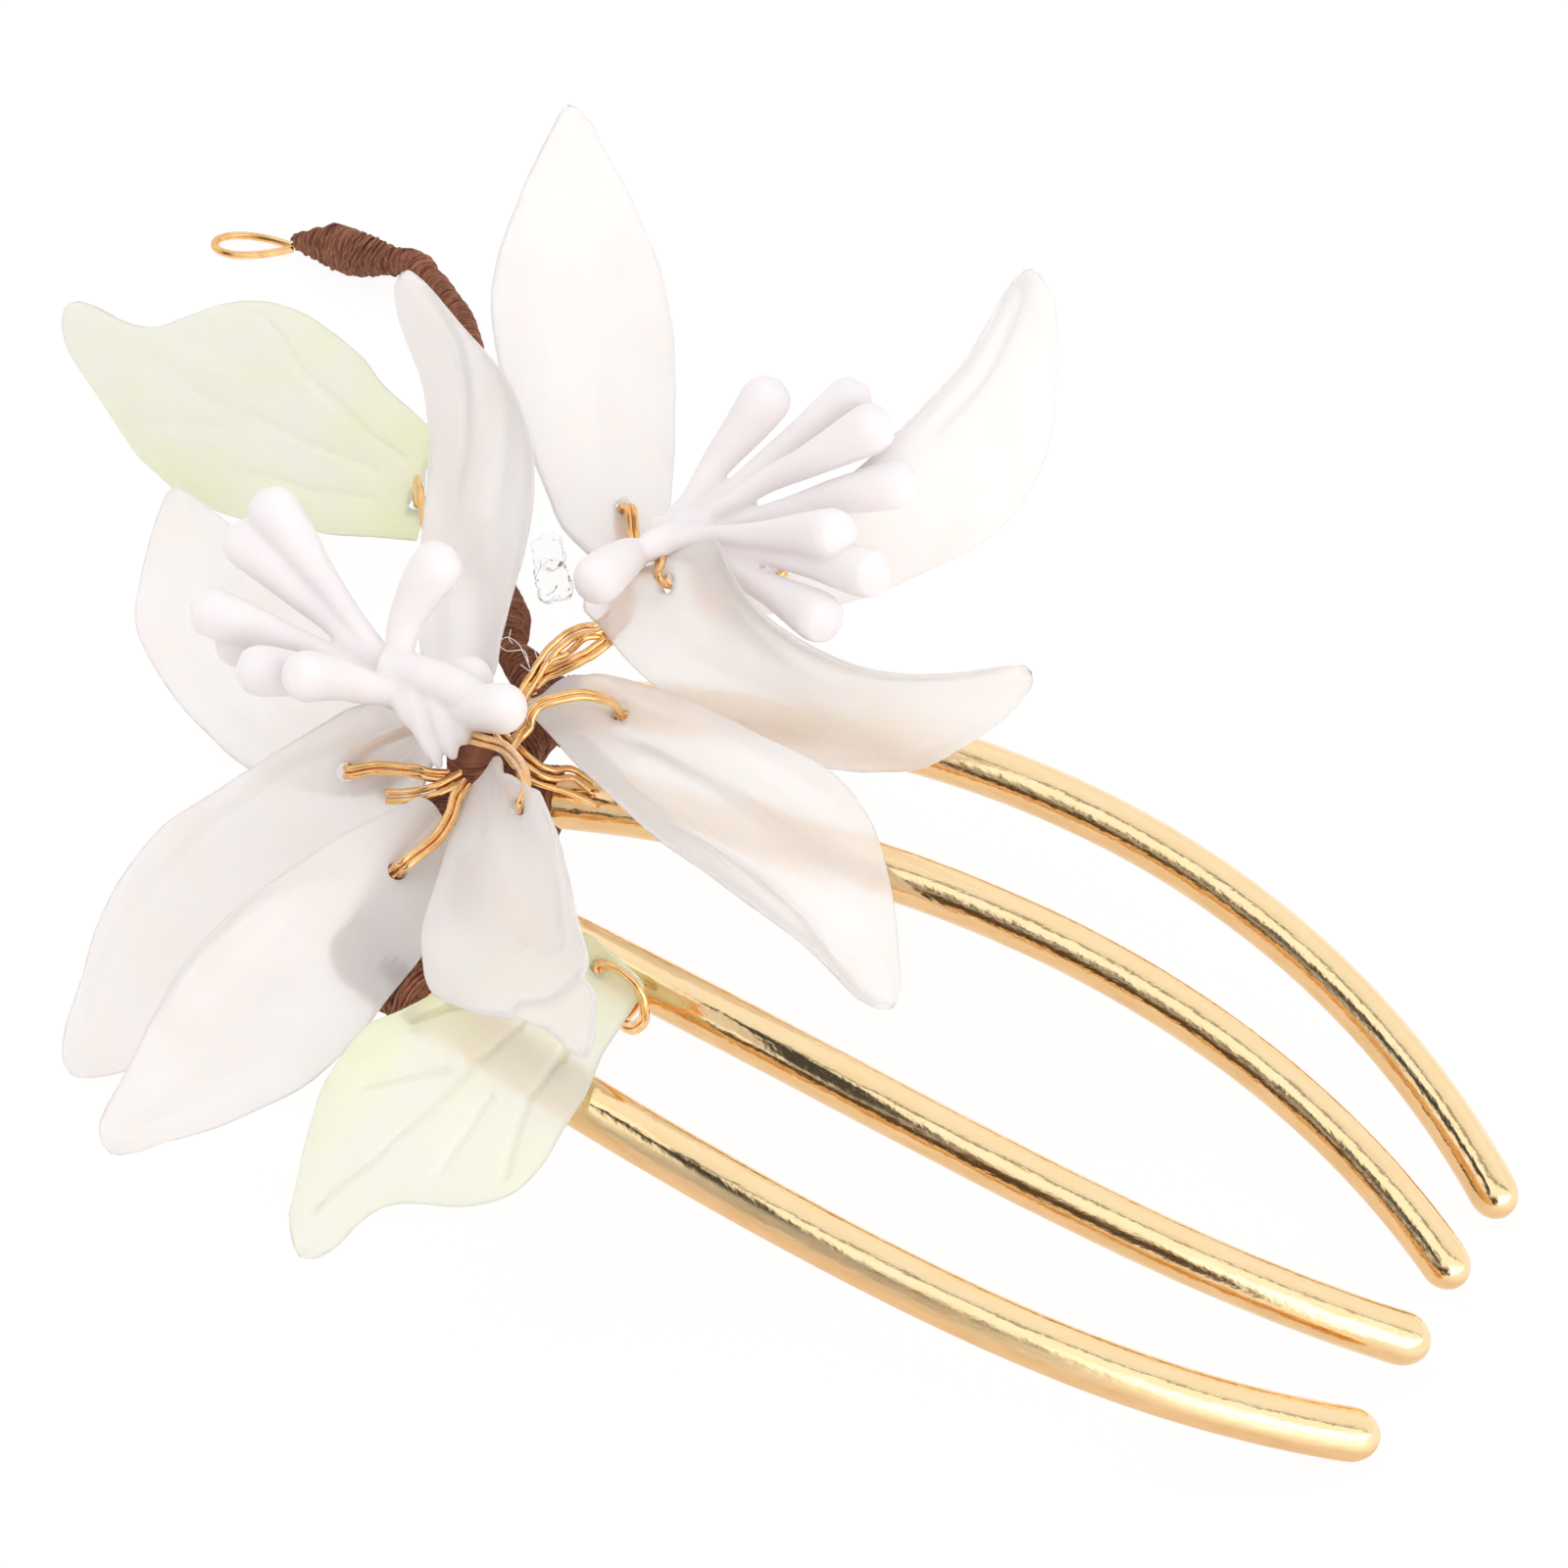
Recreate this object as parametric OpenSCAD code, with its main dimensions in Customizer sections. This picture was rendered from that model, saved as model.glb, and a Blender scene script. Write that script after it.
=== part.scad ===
// Floral four-tine hair comb: a gold comb with two wired flowers and two leaves.
// Millimetres. X runs from the bar to the tine tips, Y across the comb, Z up from the floor.

/* [Comb] */
// Length from the bar's middle line to the tine tips
comb_l = 68; // [66:1:70]
// Thickness of a tine next to the bar
tine_d = 3.5; // [3.1:0.1:3.6]
// Thickness of a tine just before its rounded tip
tip_d = 3.1; // [2.8:0.1:3.4]
// Thickness of the bar under its thread
bar_d = 3.4; // [3:0.1:3.5]

/* [Flowers] */
// Thickness of a petal in its middle
petal_t = 0.9; // [0.6:0.1:1.0]
// Thickness of a petal at its rim
rim_t = 0.5; // [0.3:0.1:0.6]
// Hole that the wire runs through, near a petal's base
hole_d = 1.6; // [1.5:0.1:1.8]
// Size of a stamen's head
head_d = 3.3; // [2.8:0.1:3.5]
// Thickness of a stamen's stem
stamen_d = 0.9; // [0.7:0.1:1.1]

/* [Leaves] */
// Length of a leaf
leaf_l = 27.5; // [26:0.5:29]
// Width of a leaf compared with the drawn outline
leaf_w = 1.02; // [0.95:0.01:1.12]
// Thickness of a leaf
leaf_t = 1.1; // [0.8:0.1:1.2]

/* [Thread and wire] */
// Thickness of the thread sleeve over the bar
wrap_d = 4.4; // [4.2:0.1:4.6]
// Thickness of the thread-wound twig
twig_d = 1.5; // [1.3:0.1:1.7]
// Thickness of one wire of a pair
wire_d = 0.45; // [0.35:0.05:0.5]
// Part to show

/* [Hidden] */
// moves the whole piece so that the middle of its footprint is the origin
frame_shift = [-11.58, -12.16, -0.17];
gap = 0.15;
gold = "#e3b877";
copper = "#c98a3a";
brown = "#6b4030";
milky = "#f4f1ee";
green = "#e3efc4";
white = "#f2f0f6";

// Bow of the tines: control values from the bar to the tips
outer_half = [11.5, 19.5, 20.5, 22.5, 10.5];
inner_half = [3.5, 8, 9, 11.5, 3];
outer_high = [13.7, 16.5, 15.5, 10, 1.25];
inner_high = [13.7, 16.5, 15.5, 11.5, 2.5];

// Petals: x, y, z, heading, rise, roll, length, width, bend at base, bend, sway, twist, cup
petals_left = [
  [-2.3, 4.9, 18.3, 100, 12, -43, 32.5, 12.8, 4, 64, 2, -19, 0.06],
  [-5, 1.1, 14.6, 147, -19, 1, 32.5, 13.7, 8, 29, -6, 11, -0.05],
  [-4, 4.1, 18.3, 243, -26.2, -31, 32, 12.5, -4, -17, 1, 2, 0.32],
  [1.3, -3.2, 18.5, 270, 14, -31, 32.4, 11.3, -77, -7, -3, 0, 0.44],
  [3, 0.5, 20.9, 297, 18, 64, 32, 13.7, -5, -22, 4, -19, 0.33],
  [1.5, 9.6, 17.7, 344.5, 8, -6, 32.7, 13.7, -2, -43, -4, -5, 0.35],
];
petals_right = [
  [3.3, 19.5, 20.2, 127, 16, 23, 32.3, 12.6, 4, 24, -2, -5, 0.17],
  [7, 21.3, 19.6, 41, 17, 98, 32.4, 13.4, -15, -53, 3, -22, 0.5],
  [1.5, 17.5, 21.4, 345, 5, 89, 32, 13.4, 5, -53, 7, 18, 0.36],
];
petal_hole_at = 0.15;
wire_over = petal_t / 2 + wire_d / 2 + 0.2;

// Leaves: x, y, z, heading, rise, roll, bend at base, bend, sway, twist, cup
leaf_front_at = [18, -10.2, 19.5, 246.7, -10.4, -7.5, -5.6, -32.7, -11.8, -7.6, 0];
leaf_back_at = [-18, 31.4, 9.5, 175.8, 3.6, -33, 2, 2, 3.7, -25, -0.06];
// Outline of a leaf: share of the length, half width on the notched side, on the full side
leaf_outline = [
  [0, 1.4, 4.2], [0.1, 2.4, 5.5], [0.19, 3.2, 7.0], [0.27, 4.6, 7.6], [0.37, 5.5, 8.1],
  [0.45, 5.9, 8.3], [0.54, 5.9, 8.8], [0.63, 4.7, 8.4], [0.71, 2.5, 7.75], [0.77, 1.0, 6.8],
  [0.84, 0.75, 5.6], [0.91, 0.9, 4.2], [0.96, 0.7, 2.8], [1, 0.4, 0.9],
];

// Twig: middle line and thickness compared with twig_d
twig_line = [
  [-0.8, 11.4, 17.3, 1.4], [-2.1, 13.2, 17.0, 1.6], [-3.8, 15.6, 15.8, 1.5], [-6.6, 20.3, 13.5, 1.2],
  [-10.2, 24.6, 12, 1], [-13.9, 30.4, 10.5, 1], [-17.6, 37.8, 8.5, 1], [-21.2, 44.4, 6.5, 1],
  [-24, 48.7, 5.2, 1], [-27, 51.6, 4.2, 1], [-30.4, 53.6, 3.2, 1.3], [-33, 53.9, 2.4, 1.7],
  [-35, 54.2, 1.9, 2.1], [-36.8, 54.4, 1.7, 2.1], [-38.6, 54.5, 1.4, 1.6], [-40.2, 54.6, 1, 0.9],
];

// Stamens: where each head sits, and the point its stem bends over if not the bunch's own
heads_left = [
  [-16.9, 9, 27], [-18, 7.4, 25], [-18, 2.7, 23], [-16.3, 2.8, 21], [-13, -0.5, 23],
  [-9.2, -1.3, 25], [-4.9, 8.3, 28], [-1.3, 5.7, 22.6], [2.6, 2.5, 24],
];
heads_right = [
  [8.4, 28.1, 30.7], [13.7, 29.3, 31.7], [16.4, 26.9, 32.7], [18.9, 25.3, 30.3],
  [17.8, 18.3, 31.7], [20.8, 17.1, 30.7], [18.5, 14.9, 27.7], [3.8, 13.5, 25.8, 3.4, 18, 29.2],
];
left_gather = [[0.3, 2.6, 19.2], [-3.5, 3.2, 22]];
right_gather = [[3.5, 18.6, 22.9], [5.4, 21.2, 23.8]];

// Wire round the leaf stalks: middle lines through each leaf's hole
leaf_front_hole = [16, -10.9, 19.4];
leaf_front_wire = [
  [16, -11, 18.2], [16, -10.9, 19.4], [16.1, -10.4, 20.5], [16.3, -9, 20.9], [16.5, -7.2, 19.8],
  [16.6, -5.2, 17.9], [16.7, -4.5, 15.4], [16.8, -5.5, 13.1], [16.9, -7.7, 12.7], [16.9, -9.4, 14],
  [16.6, -10.6, 16.3],
];
leaf_back_hole = [-17.8, 29.6, 9.5];
leaf_back_wire = [
  [-17.8, 29.6, 8.2], [-17.8, 29.6, 9.5], [-17.3, 29.3, 10.6], [-15.6, 28.4, 11.4], [-13.4, 27.8, 12.3],
  [-11.6, 27.5, 12.9], [-10.2, 27.3, 11.3], [-11.6, 27.9, 9.5], [-14.2, 28.6, 8.8],
];
twig_end = [-40.2, 54.6, 1];
loop_l = 5.4;

// Shapes from rings of points

function unit(v) = v / norm(v);
function turn(v, k, a) = v * cos(a) + cross(k, v) * sin(a) + k * (k * v) * (1 - cos(a));
function bow(c, t) =
  let (s = 1 - t)
  c[0] * pow(s, 4) + 4 * c[1] * t * pow(s, 3) + 6 * c[2] * t * t * s * s
  + 4 * c[3] * pow(t, 3) * s + c[4] * pow(t, 4);

// direction of a line of points at point i
function along(line, i) = unit(line[min(i + 1, len(line) - 1)] - line[max(i - 1, 0)]);
// sideways direction carried along the line without spinning
function carry(line, first) = [
  for (i = 0, v = unit(first - along(line, 0) * (first * along(line, 0)));
       i < len(line);
       i = i + 1, v = i < len(line) ? unit(v - along(line, i) * (v * along(line, i))) : v) v
];
// ring round each point of a line: wide radius, flat radius
function rings(line, wide, flat, sides, first = [0, 0, 1]) =
  let (side = carry(line, first))
  [for (i = [0 : len(line) - 1])
    let (t = along(line, i), u = side[i], w = cross(t, u))
    [for (k = [0 : sides - 1])
      line[i] + w * wide[i] * cos((k + 0.5) * 360 / sides) + u * flat[i] * sin((k + 0.5) * 360 / sides)]];

// smooth line through a few points, n steps between each pair
function between(a, b, c, d, t) =
  0.5 * (2 * b + (c - a) * t + (2 * a - 5 * b + 4 * c - d) * t * t + (3 * b - a - 3 * c + d) * t * t * t);
function smooth(p, n) =
  let (m = len(p) - 1)
  concat([for (i = [0 : m - 1], k = [0 : n - 1])
    between(p[max(i - 1, 0)], p[i], p[i + 1], p[min(i + 2, m)], k / n)], [p[m]]);

// one closed skin over all rings
module skin(r) {
  n = len(r[0]);
  m = len(r);
  points = [for (a = r) for (p = a) p];
  sides = [
    for (j = [0 : m - 2], k = [0 : n - 1])
      let (a = j * n + k, b = j * n + (k + 1) % n)
      each [[a, b, b + n], [a, b + n, a + n]]
  ];
  low = [[for (k = [n - 1 : -1 : 0]) k]];
  high = [[for (k = [0 : n - 1]) (m - 1) * n + k]];
  polyhedron(points = points, faces = concat(low, sides, high));
}

// solid link between each ring and the next
module links(r) {
  for (j = [0 : len(r) - 2])
    hull()
      skin([r[j], r[j + 1]]);
}

// Comb

function tine_at(t, side, outer) =
  [comb_l * t, side * bow(outer ? outer_half : inner_half, t), bow(outer ? outer_high : inner_high, t)];
tine_steps = 20;
tine_end = 0.988;

module tine(side, outer) {
  mid = [for (i = [0 : tine_steps]) tine_at(tine_end * pow(i / tine_steps, 0.95), side, outer)];
  end = along(mid, tine_steps);
  r0 = tine_d / 2;
  r1 = tip_d / 2;
  line = concat(mid, [mid[tine_steps] + end * r1 * 0.5, mid[tine_steps] + end * r1 * 0.85]);
  size = concat([for (i = [0 : tine_steps]) r0 + (r1 - r0) * i / tine_steps], [r1 * 0.85, r1 * 0.45]);
  links(rings(line, size, size, 10));
}

module comb() {
  color(gold) {
    for (side = [-1, 1], outer = [false, true])
      tine(side, outer);
    bar = [for (y = [-12.2, -11.6, 11.6, 12.2]) [0, y, 13.7]];
    size = [bar_d * 0.32, bar_d / 2, bar_d / 2, bar_d * 0.32];
    links(rings(bar, size, size, 16));
  }
}

// Thread over the bar and the tine roots

root_cover = [[1, true, 2.9], [1, false, 6.2], [-1, false, 5], [-1, true, 2.7]];

module along_root(side, outer) {
  a = tine_at(0, side, outer);
  b = tine_at(0.08, side, outer);
  d = unit(b - a);
  translate(a)
    rotate([0, acos(d[2]), atan2(d[1], d[0])])
      children();
}

module bar_wrap() {
  color(brown)
    difference() {
      union() {
        translate([0, 0, 13.7])
          rotate([90, 0, 0])
            cylinder(d = wrap_d, h = 25, center = true, $fn = 48);
        for (c = root_cover)
          along_root(c[0], c[1])
            cylinder(d = wrap_d, h = c[2], $fn = 48);
      }
      translate([0, 0, 13.7])
        rotate([90, 0, 0])
          cylinder(d = bar_d + 0.3, h = 40, center = true, $fn = 48);
      for (c = root_cover)
        along_root(c[0], c[1])
          cylinder(d = tine_d + 0.3, h = 20, $fn = 48);
    }
}

// Twig and its loop

module twig() {
  color(brown) {
    line = [for (p = twig_line) [p[0], p[1], p[2]]];
    size = [for (p = twig_line) p[3] * twig_d / 2];
    skin(rings(line, size, size, 10));
  }
}

module twig_loop() {
  // a wire bent back on itself, flat on the floor
  d = unit([-5.1, -2.1, 0]);
  side = [-d[1], d[0], 0];
  line = [for (a = [32 : 16 : 336])
    twig_end + [0, 0, -0.45] + d * (0.1 + loop_l * (1 - cos(a)) / 2) + side * 0.62 * sin(a)];
  size = [for (p = line) 0.27];
  color(copper)
    skin(rings(line, size, size, 8));
}

// Stems that carry the flowers

left_post = [0, 3.2];
right_hub = [2, 19.5, 18.2];

module left_stem() {
  color(brown)
    translate([left_post[0], left_post[1], 13.7 + wrap_d / 2 + 0.5])
      cylinder(d = 3.2, h = 2, $fn = 48);
}

module right_stem() {
  foot = [1.2, 12.8, 13.7 + wrap_d / 2 + 1.3];
  d = right_hub - foot;
  color(copper) {
    translate(foot)
      rotate([0, acos(d[2] / norm(d)), atan2(d[1], d[0])])
        cylinder(d = 1.7, h = norm(d), $fn = 32);
    translate(right_hub)
      sphere(d = 2.1, $fn = 32);
  }
}

// Petals and leaves: a blade of frames, each [point, forward, left, normal]

blade_steps = 24;

function blade_start(p) =
  let (
    t = [cos(p[4]) * cos(p[3]), cos(p[4]) * sin(p[3]), sin(p[4])],
    b0 = [-sin(p[3]), cos(p[3]), 0],
    n0 = cross(t, b0),
    b = b0 * cos(p[5]) + n0 * sin(p[5])
  )
  [[p[0], p[1], p[2]], t, b, cross(t, b)];

function blade_next(f, i, length, base_bend, bend, sway, twist) =
  let (
    s = (i - 0.5) / blade_steps,
    db = -(bend * 2 * s + base_bend * 2 * (1 - s)) / blade_steps,
    t1 = turn(f[1], f[2], db),
    n1 = turn(f[3], f[2], db),
    ds = sway * 2 * s / blade_steps,
    t2 = turn(t1, n1, ds),
    b2 = turn(f[2], n1, ds),
    dt = twist / blade_steps
  )
  [f[0] + t2 * length / blade_steps, t2, turn(b2, t2, dt), turn(n1, t2, dt)];

function blade(start, length, base_bend, bend, sway, twist) = [
  for (i = 0, f = start; i <= blade_steps;
       i = i + 1, f = blade_next(f, i, length, base_bend, bend, sway, twist)) f
];

// point of a blade's section: u runs from -1 (right rim) to 1 (left rim)
function blade_point(f, w, u, cup) = f[0] + f[2] * w * u * sqrt(1 - cup * cup / 2) + f[3] * cup * w * u * u;
function blade_normal(f, u, cup) = unit(f[3] * sqrt(1 - cup * cup / 2) - f[2] * 2 * cup * u);

// closed ring over the top and back under it; across: places between the rims
function blade_ring(f, wl, wr, cup, mid_t, edge_t, across) = [
  for (side = [1, -1], k = [0 : len(across) - 1])
    let (
      u = side * across[k],
      w = u > 0 ? wl : wr,
      t = edge_t + (mid_t - edge_t) * (1 - u * u)
    )
    blade_point(f, w, u, cup) + blade_normal(f, u, cup) * side * t / 2
];
across = [-1, -0.7, -0.35, 0, 0.35, 0.7, 1];
stations = [0, 1, 2, 4, 6, 8, 10, 12, 14, 16, 18, 20, 22, 23, 24];

function petal_half(s, width) =
  width / 2 * max(0.05, s < 0.5 ? 0.3 + 0.7 * pow(sin(180 * s), 0.9) : pow(max(0, cos(180 * (s - 0.5))), 0.75));
function petal_blade(p) = blade(blade_start(p), p[6], p[8], p[9], p[10], p[11]);
function petal_rings(p) =
  let (f = petal_blade(p))
  [for (i = stations)
    let (s = i / blade_steps, w = petal_half(s, p[7]))
    blade_ring(f[i], w, w, p[12], s < 1 ? petal_t : rim_t, rim_t, across)];

// frame at the hole, between two steps of the blade
function hole_frame(p) =
  let (f = petal_blade(p), j = petal_hole_at * blade_steps, i = floor(j), a = j - i)
  [for (k = [0 : 3]) f[i][k] * (1 - a) + f[i + 1][k] * a];

module petal(p) {
  h = hole_frame(p);
  color(milky)
    difference() {
      skin(petal_rings(p));
      translate(h[0])
        rotate([0, acos(h[3][2] / norm(h[3])), atan2(h[3][1], h[3][0])])
          cylinder(d = hole_d, h = 6, center = true, $fn = 24);
    }
}

// wire pair laid over a petal's base, down through its hole and back underneath
module petal_wire(p) {
  f = petal_blade(p)[0];
  h = hole_frame(p);
  up = wire_over;
  line = smooth([
    f[0] + f[3] * up + f[1] * 0.7, h[0] + h[3] * up - h[1] * 2.2, h[0] + h[3] * up - h[1] * 0.7,
    h[0] + h[3] * up * 0.55 - h[1] * 0.05, h[0], h[0] - h[3] * up * 0.55 - h[1] * 0.05,
    h[0] - h[3] * up - h[1] * 0.7, h[0] - h[3] * up - h[1] * 2.2, f[0] - f[3] * up + f[1] * 0.7
  ], 2);
  wide = [for (q = line) wire_d];
  flat = [for (q = line) wire_d / 2];
  color(copper)
    skin(rings(line, wide, flat, 6, f[3]));
}

function leaf_blade(p) = blade(blade_start(p), leaf_l, p[6], p[7], p[8], p[9]);
notch_side = [for (r = leaf_outline) [r[0], r[1]]];
full_side = [for (r = leaf_outline) [r[0], r[2]]];
leaf_stations = [0, 2, 4, 6, 9, 11, 13, 15, 17, 18, 19, 20, 22, 23, 24];

// notch: 1 puts the notched side to the left of the heading, -1 to the right
function leaf_rings(p, notch) =
  let (f = leaf_blade(p))
  [for (i = leaf_stations)
    let (
      s = i / blade_steps,
      a = leaf_w * lookup(s, notch_side),
      b = leaf_w * lookup(s, full_side)
    )
    blade_ring(f[i], notch > 0 ? a : b, notch > 0 ? b : a, p[10], leaf_t, 0.6, across)];

module leaf(p, notch, hole) {
  color(green)
    difference() {
      skin(leaf_rings(p, notch));
      translate(hole)
        cylinder(d = hole_d, h = 6, center = true, $fn = 24);
    }
}

module leaf_wire(points, first) {
  line = smooth(points, 2);
  wide = [for (q = line) wire_d];
  flat = [for (q = line) wire_d / 2];
  color(copper)
    skin(rings(line, wide, flat, 6, first));
}

// Stamens: each a stem from the gather to a drop-shaped head

module stamen(foot, gather, head) {
  d = unit(head - gather);
  r = head_d / 2;
  neck = head - d * r * 0.9;
  stem = [for (t = [0, 0.3, 0.65, 1])
    foot * pow(1 - t, 2) + gather * 2 * t * (1 - t) + neck * t * t];
  knob = [for (k = [-0.75, -0.35, 0.15, 0.6, 0.95]) head + d * r * k];
  size = concat(
    [for (t = [0, 0.3, 0.65, 1]) stamen_d / 2 * (1.15 - 0.35 * t)],
    [for (k = [0.62, 0.92, 1, 0.78, 0.3]) r * k]
  );
  links(rings(concat(stem, knob), size, size, 6));
}

module stamens(heads, g) {
  color(white)
    for (h = heads)
      stamen(g[0], len(h) > 3 ? [h[3], h[4], h[5]] : g[1], [h[0], h[1], h[2]]);
}

module stamens_left() stamens(heads_left, left_gather);
module stamens_right() stamens(heads_right, right_gather);
module leaf_back() leaf(leaf_back_at, -1, leaf_back_hole);
module leaf_front() leaf(leaf_front_at, 1, leaf_front_hole);
module wire_leaf_back() leaf_wire(leaf_back_wire, [-1, -0.5, 0]);
module wire_leaf_front() leaf_wire(leaf_front_wire, [0, 1, 0]);

// Clear drop of glue beside the three-petal flower

module glue_drop() {
  color("white", 0.5)
    hull() {
      translate([-1.9, 16.9, 19.2])
        sphere(d = 1.7, $fn = 16);
      translate([-0.3, 18.7, 21.2])
        sphere(d = 1.5, $fn = 16);
    }
}

module placed() translate(frame_shift) children();

placed() comb();
placed() bar_wrap();
placed() twig();
placed() twig_loop();
placed() left_stem();
placed() right_stem();
for (i = [1 : 6])
  placed() petal(petals_left[i - 1]);
for (i = [1 : 3])
  placed() petal(petals_right[i - 1]);
for (i = [1 : 6])
  placed() petal_wire(petals_left[i - 1]);
for (i = [1 : 3])
  placed() petal_wire(petals_right[i - 1]);
placed() leaf_back();
placed() leaf_front();
placed() wire_leaf_back();
placed() wire_leaf_front();
placed() stamens_left();
placed() stamens_right();
placed() glue_drop();
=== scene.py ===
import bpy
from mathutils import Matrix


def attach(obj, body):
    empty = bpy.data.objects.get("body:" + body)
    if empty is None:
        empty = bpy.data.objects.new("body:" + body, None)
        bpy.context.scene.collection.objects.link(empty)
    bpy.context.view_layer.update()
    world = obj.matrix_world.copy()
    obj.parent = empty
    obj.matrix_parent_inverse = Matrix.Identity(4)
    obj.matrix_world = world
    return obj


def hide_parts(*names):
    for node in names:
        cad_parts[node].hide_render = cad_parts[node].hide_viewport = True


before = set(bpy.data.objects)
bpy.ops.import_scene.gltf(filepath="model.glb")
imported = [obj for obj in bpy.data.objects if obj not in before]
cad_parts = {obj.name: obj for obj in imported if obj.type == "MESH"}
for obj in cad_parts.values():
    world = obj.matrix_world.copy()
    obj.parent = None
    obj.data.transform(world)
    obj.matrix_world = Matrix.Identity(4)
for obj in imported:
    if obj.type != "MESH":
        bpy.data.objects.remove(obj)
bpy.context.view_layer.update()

import math
import random

import bmesh
import bpy
from mathutils import Matrix, Vector, noise

# ---------------------------------------------------------------------------
# Table, light tent and camera
# A white light table, lit softly from below, inside a white light tent. The
# tent is open low at the front and has a seam and a doorway, and those dark
# gaps are what draws the dark lines along the polished tines.
# ---------------------------------------------------------------------------
scene = bpy.context.scene
scene.view_settings.view_transform = "Standard"

CAMERA_AT = (0.21191, -0.42374, 0.51978)
to_camera = Vector((0.4374, -0.8993, 0))      # along the table, as is the next
camera_right = Vector((0.8993, 0.4374, 0))
camera_ahead = Vector((-0.2983, 0.6133, -0.7314)).normalized()
camera_up = camera_right.cross(camera_ahead).normalized()

lens = bpy.data.cameras.new("camera")
lens.lens, lens.sensor_width, lens.clip_start = 251.57, 36, 0.01
camera = bpy.data.objects.new("camera", lens)
camera.matrix_world = Matrix.Translation(CAMERA_AT) @ Matrix(
    (camera_right, camera_up, -camera_ahead)).transposed().to_4x4()
scene.collection.objects.link(camera)
scene.camera = camera


def plug(tree, n, inputs):
    """Gives a node its inputs, which are values or other nodes' outputs."""
    for socket, value in inputs.items():
        if isinstance(value, bpy.types.NodeSocket):
            tree.links.new(value, n.inputs[socket])
        else:
            n.inputs[socket].default_value = value


def node(tree, kind, inputs, **fields):
    """One shader node with its fields and its inputs."""
    n = tree.nodes.new(kind)
    for field, value in fields.items():
        setattr(n, field, value)
    plug(tree, n, inputs)
    return n


def ramp(tree, share, *marks):
    """A colour ramp. marks are (place, colour), and a colour that is one number is a grey."""
    n = node(tree, "ShaderNodeValToRGB", {"Fac": share})
    bar = n.color_ramp.elements
    while len(bar) < len(marks):
        bar.new(0.5)
    for element, (place, colour) in zip(bar, marks):
        element.position = place
        element.color = (*colour, 1) if isinstance(colour, tuple) else (colour, colour, colour, 1)
    return n.outputs["Color"]


def maths(tree, how, a, b=0.0, **fields):
    return node(tree, "ShaderNodeMath", {0: a, 1: b}, operation=how, **fields).outputs[0]


def spread(tree, value, start, end, low=0.0, high=1.0):
    """low at start, high at end, even between them and level outside."""
    return node(tree, "ShaderNodeMapRange", {"Value": value, "From Min": start, "From Max": end,
                                             "To Min": low, "To Max": high}).outputs["Result"]


def blend(tree, share, a, b, **fields):
    """Colour a where share is 0, and b where it is 1."""
    return node(tree, "ShaderNodeMix", {0: share, 6: a, 7: b}, data_type="RGBA", **fields).outputs[2]


def new_finish(name):
    """A new material, its nodes and its shader."""
    made = bpy.data.materials.new(name)
    made.use_nodes = True
    return made, made.node_tree, made.node_tree.nodes["Principled BSDF"]


tent = bpy.data.worlds.new("light_tent")
tent.use_nodes = True
scene.world = tent
sky = tent.node_tree
direction = node(sky, "ShaderNodeTexCoord", {}).outputs["Generated"]
upward = node(sky, "ShaderNodeSeparateXYZ", {0: direction}).outputs["Z"]
forward, sideways = (
    node(sky, "ShaderNodeVectorMath", {0: direction, 1: way}, operation="DOT_PRODUCT").outputs["Value"]
    for way in (to_camera, camera_right))
# How far over the top of the tent: 0 is low at the front, 1 is low at the back
over = maths(sky, "MULTIPLY", maths(sky, "ARCTAN2", upward, forward), 1 / math.pi, use_clamp=True)
LOW_GAP = (0.08, 0.05, 0.028)
walls = ramp(sky, over, (0, 0.5), (0.02, 0.2), (0.045, LOW_GAP), (0.115, LOW_GAP), (0.155, (0.2, 0.16, 0.13)),
             (0.19, 0.72), (0.235, 0.95), (0.3, 1.0), (0.395, 1.0), (0.42, 0.98), (0.438, 0.25), (0.462, 0.3),
             (0.48, 0.74), (0.52, 0.78), (0.62, 0.84), (0.82, 0.86), (1, 0.8))
doorway = ramp(sky, over, (0.17, 1), (0.2, 0.2), (0.26, 0.05), (0.44, 0.04), (0.48, 1))
door_span = ramp(sky, spread(sky, sideways, -1.0, 1.0), (0.18, 0), (0.22, 1), (0.325, 1), (0.35, 0))
with_door = blend(sky, door_span, walls, doorway, blend_type="MULTIPLY")
WINDOW_LIGHT = (1.9, 1.9, 1.9, 1)             # low down at the right
window = maths(sky, "MULTIPLY", spread(sky, sideways, 0.05, 0.3), spread(sky, over, 0.24, 0.2))
plug(sky, sky.nodes["Background"], {"Color": blend(sky, window, with_door, WINDOW_LIGHT), "Strength": 1.17})

# Two lamps shine at the middle of the object: name, width, power and place
for name, wide, power, spot in (("softbox", 0.5, 1.1, (-0.35, -0.1, 0.6)),
                                ("fill_card", 0.4, 0.85, (0.3, -0.5, 0.25))):
    lamp = bpy.data.lights.new(name, "AREA")
    lamp.shape, lamp.size, lamp.size_y, lamp.energy = "RECTANGLE", wide, wide, power
    panel = bpy.data.objects.new(name, lamp)
    panel.location = spot
    panel.rotation_euler = (Vector((0, 0, 0.01)) - panel.location).to_track_quat("-Z", "Y").to_euler()
    panel.visible_glossy = False
    scene.collection.objects.link(panel)

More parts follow.
